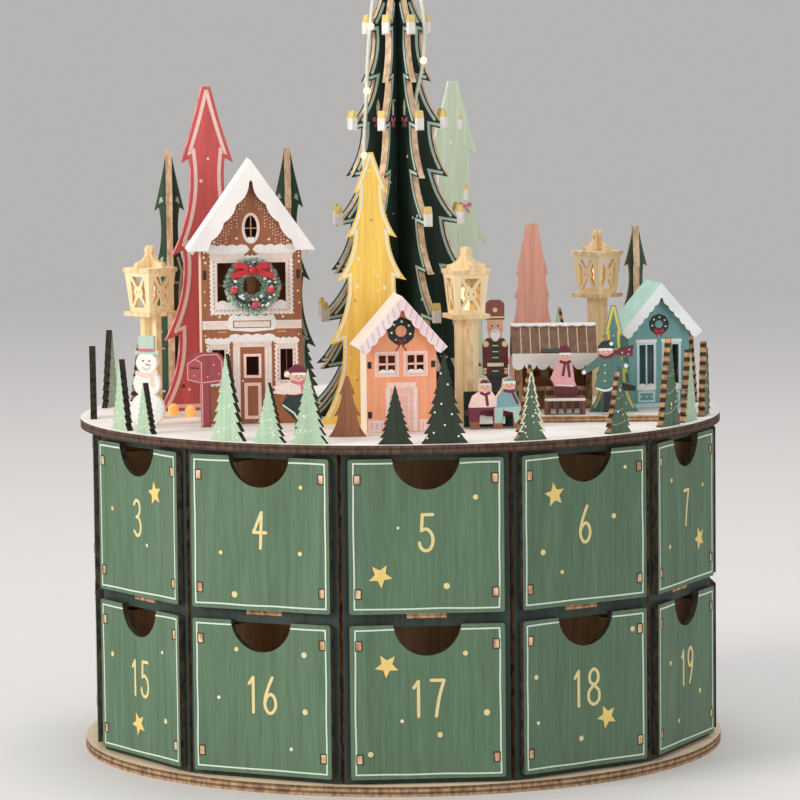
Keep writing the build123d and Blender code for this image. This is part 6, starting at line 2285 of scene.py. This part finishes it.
@dataclass
class Villagers:
    """Snowman, mailbox, nutcracker, skaters, couple and child."""

    skin: Rgb = Ink.SKIN.value
    maroon: Rgb = (116, 42, 60)
    dark: Rgb = (34, 44, 42)
    sled_top: float = 11.3
    child_back: float = 4.5

    def dress(self) -> None:
        """Paint and print the figures."""
        self._snowman()
        board = BoardMesh("village_figures")
        spots = {name: PLACES[name].seat().origin for name in
                 ("nutcracker", "left_skater", "right_skater", "mailbox", "bench", "sled")}
        paints = self._paints()

        def choose(face: FlatFace) -> bpy.types.Material:
            """The material of one face.

            Args:
                face: a flat face.
            Returns:
                Its material.
            """
            name = min(spots, key=lambda spot: (spots[spot].xy - face.centre.xy).length)
            seat = PLACES[name].seat()
            depth = (face.centre - seat.origin).dot(seat.out) / MM
            up = face.centre.z / MM - DECK_TOP
            if name == "bench":
                name = "couple" if depth > -0.3 else "bench"
            elif name == "sled":
                name = "child" if up > self.sled_top else "sled"
            return paints[name].material()

        board.paint(choose)
        sheet = Print("village_figures_print", CALENDAR, "figure_paint")
        self._nutcracker(sheet, PLACES["nutcracker"].front(board))
        self._left_skater(sheet, PLACES["left_skater"].front(board))
        self._right_skater(sheet, PLACES["right_skater"].front(board))
        self._mailbox(sheet, PLACES["mailbox"].front(board))
        self._couple(sheet, PLACES["bench"].front(board))
        self._child(sheet, PLACES["sled"].seat())
        sheet.finish()

    def _paints(self) -> dict[str, Finish]:
        """The base paint of each figure; returns them by name."""
        top = DECK_TOP
        return {
            "nutcracker": BandPaint("nutcracker_paint", top, 54, (
                (0, self.dark), (0.35, (96, 44, 42)), (0.67, (216, 176, 150)), (0.83, (60, 34, 34)),
                (0.85, (138, 78, 74)))),
            "left_skater": BandPaint("left_skater_paint", top, 30, (
                (0, (60, 40, 36)), (0.07, (104, 64, 54)), (0.14, Ink.DARK_GREEN.value),
                (0.54, Ink.ICING.value), (0.75, self.skin), (0.86, self.maroon))),
            "right_skater": BandPaint("right_skater_paint", top + 3, 34, (
                (0, (40, 36, 38)), (0.30, Ink.SKATE_GREEN.value), (0.80, self.skin), (0.88, self.dark))),
            "mailbox": BoardPaint("mailbox_paint", (150, 66, 74), 0.1),
            "bench": BoardPaint("bench_paint", Ink.DARK_GREEN.value, 0.16),
            "couple": BandPaint("couple_paint", top, 24, (
                (0, Ink.BOOT_BROWN.value), (0.14, self.maroon), (0.42, Ink.PALE_PINK.value),
                (0.7, self.skin))),
            "sled": BoardPaint("sled_wood", (124, 88, 62), 0.16, Grain.ACROSS),
            "child": BandPaint("child_paint", top + 11, 24, (
                (0, (104, 46, 48)), (0.2, (242, 178, 179)), (0.64, self.skin), (0.8, self.maroon)))}

    def _snowman(self) -> None:
        """White balls, mint hat, pale scarf, coal buttons."""
        board = BoardMesh("snowman")
        paint = BandPaint("snowman_paint", DECK_TOP, 41, (
            (0, (250, 249, 244)), (0.795, (190, 214, 198))))
        board.paint(lambda face: paint.material())
        seat = PLACES["snowman"].front(board)
        sheet = Print("snowman_print", CALENDAR, "white_snow_paint")
        sheet.ribbon(seat, smooth([(-4.4, 24.0), (0, 22.8), (4.4, 24.0)]), 2.0, Ink.PALE_PINK)
        sheet.ribbon(seat, [(2.2, 23.4), (3.0, 18.2)], 1.8, Ink.PALE_PINK)
        for up in (12.0, 16.4):
            sheet.disc(seat, (0, up), 0.6, Ink.EYE)
        for x in (-1.5, 1.5):
            sheet.disc(seat, (x, 29.6), 0.42, Ink.EYE)
        sheet.prism(seat, [(-0.4, 28.6), (0.2, 27.5), (2.6, 27.6)], Ink.CARROT, 1)
        for k in range(5):
            angle = math.radians(220 + 25 * k)
            sheet.disc(seat, (2.3 * math.cos(angle), 28.0 + 2.3 * math.sin(angle)), 0.22, Ink.EYE)
        sheet.rectangle(seat, (-3.6, 3.6, 33.8, 35.2), Ink.BOW_PINK)
        sheet.finish()

    @staticmethod
    def _head(sheet: Print, seat: Seat, centre: Point, radius: float, hat: Ink, brim: Ink) -> None:
        """A plain head with eyes, cheeks and a brimmed cap.

        Args:
            sheet: the figures' print.
            seat: the board's seat.
            centre: the head's middle.
            radius: the head's radius.
            hat: the cap's ink.
            brim: the brim's ink.
        """
        x, y = centre
        sheet.disc(seat, centre, radius, Ink.SKIN, 1)
        for side in (-1, 1):
            sheet.disc(seat, (x + side * 0.38 * radius, y), 0.11 * radius, Ink.EYE, 2)
            sheet.disc(seat, (x + side * 0.55 * radius, y - 0.3 * radius), 0.18 * radius, Ink.CHEEK, 2)
        sheet.ribbon(seat, smooth([(x - 0.25 * radius, y - 0.45 * radius), (x, y - 0.55 * radius),
                                   (x + 0.25 * radius, y - 0.45 * radius)], 3), 0.1 * radius, Ink.MAROON, 2)
        cap = [(x + radius * math.cos(a), y + 0.25 * radius + radius * 0.95 * math.sin(a))
               for a in [math.pi * k / 10 for k in range(11)]]
        sheet.prism(seat, cap, hat, 2)
        edge = y + 0.3 * radius
        sheet.ribbon(seat, [(x - radius, edge), (x + radius, edge)], 0.42 * radius, brim, 3)

    def _nutcracker(self, sheet: Print, seat: Seat) -> None:
        """Coat front, belt, epaulettes, beard, face and hat badge.

        Args:
            sheet: the figures' print.
            seat: the figure's seat.
        """
        sheet.rectangle(seat, (-1.7, 1.7, 19.4, 34.4), Ink.DARK_GREEN)
        sheet.rectangle(seat, (-3.8, 3.8, 23.2, 24.8), Ink.CREAM, 1)
        for up in (20.8, 27.0, 29.8, 32.6):
            sheet.rectangle(seat, (-1.4, 1.4, up, up + 0.5), Ink.GOLD, 2)
        for side in (-1, 1):
            sheet.disc(seat, (side * 4.4, 33.6), 1.4, Ink.GOLD, 1)
            sheet.rectangle(seat, (side * 2.2 - 1.3, side * 2.2 + 1.3, 0.5, 5.8), Ink.EYE)
            sheet.disc(seat, (side * 4.9, 20.4), 0.8, Ink.SKIN, 1)
            sheet.rectangle(seat, (side * 4.9 - 0.8, side * 4.9 + 0.8, 21.4, 22.4), Ink.GOLD, 1)
            sheet.disc(seat, (side * 1.4, 42.0), 0.4, Ink.EYE, 1)
            sheet.disc(seat, (side * 2.4, 40.4), 0.6, Ink.CHEEK, 1)
            sheet.ribbon(seat, [(side * 0.2, 40.0), (side * 1.8, 39.5)], 0.6, Ink.WHITE, 2)
        beard = [(-2.2, 38.8), (2.2, 38.8), (1.5, 35.8), (0, 34.8), (-1.5, 35.8)]
        sheet.prism(seat, smooth(beard, 3, True), Ink.WHITE, 1)
        sheet.disc(seat, (0, 49.4), 1.1, Ink.GOLD, 1)
        sheet.rectangle(seat, (-4.1, 4.1, 45.6, 46.4), Ink.GOLD, 1)

    def _left_skater(self, sheet: Print, seat: Seat) -> None:
        """Maroon cap, pink scarf, pale jacket over a dark green dress.

        Args:
            sheet: the figures' print.
            seat: the figure's seat.
        """
        sheet.prism(seat, [(5.2, 17.1), (9.4, 14.6), (9.8, 16.6), (6.0, 21.4)], Ink.ICING)
        self._head(sheet, seat, (2.6, 24.9), 2.7, Ink.MAROON, Ink.WHITE)
        sheet.disc(seat, (-2.7, 25.7), 1.2, Ink.WHITE, 1)
        sheet.ribbon(seat, smooth([(-0.4, 22.3), (2.4, 21.5), (5.0, 22.3)]), 1.4, Ink.BOW_PINK, 1)
        sheet.ribbon(seat, [(3.6, 21.8), (4.4, 17.2)], 1.2, Ink.BOW_PINK, 1)
        sheet.ribbon(seat, smooth([(-3.2, 16.4), (0.4, 15.9), (5.2, 16.9)]), 0.6, Ink.MAROON, 1)
        sheet.ribbon(seat, [(-4.7, 11.6), (0.4, 7.9), (1.9, 5.4), (4.2, 5.2)], 0.7, Ink.MINT_LINE, 1)
        for spot in ((-9.0, 18.6), (9.2, 15.6)):
            sheet.disc(seat, spot, 0.8, Ink.MAROON, 1)
        sheet.ribbon(seat, [(0.6, 0.6), (5.0, 0.6)], 0.6, Ink.SNOW_SHADE, 1)

    def _right_skater(self, sheet: Print, seat: Seat) -> None:
        """Dark cap with a white brim, flying maroon scarf, teal coat, one leg kicked back.

        Args:
            sheet: the figures' print.
            seat: the figure's seat.
        """
        leg = [(1.1, 10.4), (5.0, 11.0), (12.0, 10.7), (12.3, 12.8), (5.5, 14.6), (2.6, 14.6)]
        sheet.prism(seat, leg, Ink.EYE)
        scarf = [(1.6, 27.4), (11.0, 26.7), (11.3, 31.4), (2.2, 29.4)]
        sheet.prism(seat, scarf, Ink.MAROON)
        for spot in ((6.2, 28.2), (9.4, 29.6), (9.0, 27.5)):
            sheet.disc(seat, spot, 0.35, Ink.PALE_PINK, 1)
        sheet.ribbon(seat, smooth([(-3.8, 27.0), (-1.2, 26.2), (1.8, 27.4)]), 1.4, Ink.MAROON, 1)
        self._head(sheet, seat, (-1.4, 29.0), 2.7, Ink.DARK_GREEN, Ink.WHITE)
        sheet.disc(seat, (1.2, 32.4), 0.9, Ink.WHITE, 3)
        for spot in ((-11.4, 19.4), (7.9, 22.2)):
            sheet.disc(seat, spot, 1.0, Ink.WHITE, 1)
        sheet.ribbon(seat, smooth([(-5.8, 12.0), (-1.6, 10.9), (2.0, 12.2)]), 0.9, Ink.WHITE, 1)
        for up in (15.4, 19.0, 22.6):
            sheet.disc(seat, (-1.8, up), 0.4, Ink.CREAM, 1)
        sheet.ribbon(seat, [(-2.2, 0.6), (1.8, 0.6)], 0.6, Ink.SNOW_SHADE, 1)

    def _mailbox(self, sheet: Print, seat: Seat) -> None:
        """The box drawn from its corner: bare front, side and lid line, and a line down the post.

        Args:
            sheet: the figures' print.
            seat: the board's seat.
        """
        front = [(-8.0, 21.8), (-1.6, 20.3), (-1.6, 29.6), (-4.6, 31.2), (-8.0, 29.0)]
        sheet.prism(seat, front, Ink.BOX_FRONT)
        sheet.ribbon(seat, front, 0.5, Ink.BOX_LINE, 1, closed=True)
        lid = [(-4.4, 31.6), (-1.0, 33.1), (5.6, 33.3), (7.8, 30.2), (7.8, 21.6)]
        sheet.ribbon(seat, lid, 0.5, Ink.BOX_LINE)
        sheet.ribbon(seat, [(-1.6, 20.3), (7.8, 21.6)], 0.5, Ink.BOX_LINE)
        sheet.ribbon(seat, [(-6.6, 27.2), (-3.0, 27.0)], 0.6, Ink.EYE, 1)
        for spot in ((1.2, 23.0), (4.0, 28.6), (6.4, 24.4), (-5.0, 23.6)):
            sheet.disc(seat, spot, 0.3, Ink.PALE_PINK, 1)
        sheet.ribbon(seat, [(-1.4, 0.8), (-1.4, 19.6)], 0.6, Ink.BOX_LINE)

    def _couple(self, sheet: Print, seat: Seat) -> None:
        """The two people on the bench: pale pink coat and maroon skirt, blue coat and pale teal trousers.

        Args:
            sheet: the figures' print.
            seat: the board's seat.
        """
        shapes = (
            (Ink.PALE_PINK,
             [(-11.6, 9.9), (-0.8, 9.9), (-0.8, 14.2), (-1.9, 17.0), (-7.0, 16.8), (-9.8, 14.6)]),
            (Ink.MAROON, [(-10.8, 3.6), (-7.4, 3.6), (-7.0, 8.4), (-1.0, 8.9), (-0.8, 9.9), (-11.6, 9.9)]),
            (Ink.BLUE_COAT, [(0.8, 9.8), (11.7, 10.0), (9.6, 15.6), (8.9, 17.6), (3.8, 18.2), (0.8, 14.2)]),
            (Ink.PALE_TEAL, [(-0.3, 2.6), (3.2, 2.6), (3.7, 8.3), (4.2, 9.8), (-0.3, 9.8)]),
            (Ink.PALE_TEAL, [(8.8, 2.6), (11.8, 2.6), (11.8, 10.0), (4.2, 9.8), (4.0, 8.4), (8.1, 7.4)]))
        for colour, shape in shapes:
            sheet.prism(seat, shape, colour)
        sheet.ribbon(seat, [(-6.2, 16.4), (-4.4, 15.6), (-2.6, 16.4)], 1.3, Ink.MAROON, 1)
        sheet.ribbon(seat, [(-4.0, 15.8), (-3.4, 11.0)], 1.3, Ink.MAROON, 1)
        sheet.ribbon(seat, [(4.4, 17.4), (6.4, 16.8), (8.6, 17.2)], 1.3, Ink.MAROON, 1)
        sheet.ribbon(seat, [(7.8, 16.6), (9.4, 13.4), (10.2, 11.6)], 1.2, Ink.MAROON, 1)
        self._head(sheet, seat, (-4.6, 19.6), 2.4, Ink.MAROON, Ink.SNOW_SHADE)
        self._head(sheet, seat, (6.5, 20.3), 2.4, Ink.TEAL_CLOTH, Ink.WHITE)

    def _child(self, sheet: Print, seat: Seat) -> None:
        """The child's head and scarf, and the sled's slats and seat.

        Args:
            sheet: the figures' print.
            seat: the sled's seat.
        """
        depth = (HALF_PLY - self.child_back) * MM
        front = Seat(seat.origin + seat.out * depth, seat.right, seat.up, seat.out)
        self._head(sheet, front, (0.3, 27.0), 2.4, Ink.MAROON, Ink.WHITE)
        sheet.ribbon(front, smooth([(-1.8, 24.2), (0.6, 23.6), (2.4, 24.2)]), 1.3, Ink.MAROON, 1)
        for tail in ([(0.2, 23.8), (-0.8, 18.0)], [(1.4, 23.8), (2.2, 17.4)]):
            sheet.ribbon(front, tail, 1.2, Ink.MAROON, 1)
        sheet.ribbon(front, [(-3.4, 13.4), (4.0, 12.9)], 0.7, Ink.WHITE, 1)
        for x in (-7.2, -3.6, 0.0, 3.6, 7.2):
            sheet.rectangle(seat, (x - 0.7, x + 0.7, 0.8, 5.8), Ink.HAIR_BROWN)
        sheet.ribbon(seat, [(-8.8, 7.0), (8.8, 7.0)], 1.2, Ink.WHITE)


@dataclass
class LightString:
    """The cable over the great pine, its beads, the lamps' lights and the two lights on the deck."""

    deck_light_top: float = 14.0
    sheath: SolidColour = SolidColour("cable_sheath", (226, 226, 210), 0.08, 0.35)
    warm: SolidColour = SolidColour("warm_bulb", (255, 232, 184), 0.05, 0.3, 0.0, 1.1)
    ember: SolidColour = SolidColour("deck_bulb", (255, 182, 104), 0.05, 0.3, 0.0, 0.45)

    def dress(self) -> None:
        """Give the cable its sheath and light the bulbs."""
        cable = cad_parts["light_cable"].data
        cable.materials.clear()
        cable.materials.append(self.sheath.material())
        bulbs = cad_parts["light_bulbs"].data
        bulbs.materials.clear()
        bulbs.materials.append(self.warm.material())
        bulbs.materials.append(self.ember.material())
        for polygon in bulbs.polygons:
            polygon.material_index = int(polygon.center.z < (DECK_TOP + self.deck_light_top) * MM)


@dataclass
class BatteryBox:
    """What is under the floor: tub, cover, cells, contacts, screw and switch."""

    def dress(self) -> None:
        """Give each piece its plastic or metal."""
        finishes = {"battery_tub": SolidColour("black_plastic", (34, 34, 36), 0.12, 0.5),
                    "battery_cover": SolidColour("cover_plastic", (38, 38, 40), 0.12, 0.45),
                    "switch_slider": SolidColour("switch_plastic", (46, 46, 48), 0.12, 0.4),
                    "battery_cells": SolidColour("cell_wrap", (70, 96, 82), 0.1, 0.35),
                    "battery_contacts": SolidColour("contact_metal", (190, 190, 186), 0.1, 0.3, 1.0),
                    "cover_screw": SolidColour("screw_metal", (170, 170, 168), 0.1, 0.32, 1.0)}
        for node, finish in finishes.items():
            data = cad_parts[node].data
            data.materials.clear()
            data.materials.append(finish.material())


@dataclass
class Studio:
    """Pale floor, soft light and the camera of the photograph."""

    azimuth: float = -4.356
    elevation: float = 5.516
    roll: float = -0.586
    distance: float = 1981.9
    target_up: float = 160.5
    focal_pixels: float = 4213.75
    picture: float = 800.0
    floor_size: float = 6.0
    backdrop: Rgb = (182, 180, 179)
    aim_up: float = 0.18

    def build(self) -> None:
        """Make the floor, the lights, the world and the camera."""
        self._floor()
        self._lights()
        self._camera()

    def _floor(self) -> None:
        """A wide plain floor."""
        mesh = bpy.data.meshes.new("floor")
        half = self.floor_size / 2
        corners = [(-half, -half, 0), (half, -half, 0), (half, half, 0), (-half, half, 0)]
        mesh.from_pydata(corners, [], [(0, 1, 2, 3)])
        mesh.materials.append(BoardPaint("studio_floor", (232, 229, 226), 0.01, Grain.ACROSS, 0.0).material())
        floor = bpy.data.objects.new("floor", mesh)
        bpy.context.scene.collection.objects.link(floor)

    def _lights(self) -> None:
        """Soft key, fill and top light, and a pale world that looks like the far floor."""
        world = bpy.data.worlds.new("studio")
        bpy.context.scene.world = world
        world.use_nodes = True
        nodes, links = world.node_tree.nodes, world.node_tree.links
        sky = nodes["Background"]
        sky.inputs["Color"].default_value = (0.92, 0.92, 0.94, 1)
        sky.inputs["Strength"].default_value = 0.55
        backdrop = nodes.new("ShaderNodeBackground")
        backdrop.inputs["Color"].default_value = linear(self.backdrop)
        path = nodes.new("ShaderNodeLightPath")
        choice = nodes.new("ShaderNodeMixShader")
        links.new(path.outputs["Is Camera Ray"], choice.inputs[0])
        links.new(sky.outputs[0], choice.inputs[1])
        links.new(backdrop.outputs[0], choice.inputs[2])
        links.new(choice.outputs[0], nodes["World Output"].inputs["Surface"])
        lamps = (("key", (-2.0, -0.9, 1.1), 1.1, 34.0, (1.0, 0.97, 0.93)),
                 ("fill", (0.9, -1.9, 0.7), 1.2, 8.5, (1.0, 0.98, 0.97)),
                 ("top", (0.2, 0.5, 2.0), 1.2, 14.0, (1.0, 1.0, 1.0)))
        for name, place, size, power, colour in lamps:
            lamp = bpy.data.lights.new(name, "AREA")
            lamp.energy, lamp.size, lamp.color = power, size, colour
            carrier = bpy.data.objects.new(name, lamp)
            carrier.location = place
            aim = Vector((0, 0, self.aim_up)) - Vector(place)
            carrier.rotation_euler = aim.to_track_quat("-Z", "Y").to_euler()
            bpy.context.scene.collection.objects.link(carrier)

    def _camera(self) -> None:
        """The camera at the photograph's place."""
        a, e, r = (math.radians(v) for v in (self.azimuth, self.elevation, self.roll))
        back = Vector((math.sin(a) * math.cos(e), -math.cos(a) * math.cos(e), math.sin(e)))
        level = Vector((math.cos(a), math.sin(a), 0))
        rise = back.cross(level)
        right = level * math.cos(r) + rise * math.sin(r)
        up = rise * math.cos(r) - level * math.sin(r)
        lens = bpy.data.cameras.new("camera")
        lens.sensor_width = 36.0
        lens.lens = self.focal_pixels / self.picture * lens.sensor_width
        lens.clip_end = 20.0
        camera = bpy.data.objects.new("camera", lens)
        turn = Matrix((right, up, back)).transposed().to_4x4()
        place = (Vector((0, 0, self.target_up)) + back * self.distance) * MM
        camera.matrix_world = Matrix.Translation(place) @ turn
        bpy.context.scene.collection.objects.link(camera)
        bpy.context.scene.camera = camera


def main() -> None:
    """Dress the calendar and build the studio."""
    logging.basicConfig(level=logging.INFO, format="%(name)s: %(message)s")
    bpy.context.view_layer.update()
    bpy.context.scene.view_settings.view_transform = "Standard"
    for sub_assembly in (Drum(), DrawerRing(), Forest(), BrownHouse(), PeachHouse(), TealHouse(),
                         MarketStall(), StreetLamps(), Villagers(), LightString(), BatteryBox()):
        sub_assembly.dress()
        LOG.info("dressed %s", type(sub_assembly).__name__)
    Studio().build()
    bpy.context.view_layer.update()


if __name__ == "__main__":
    main()
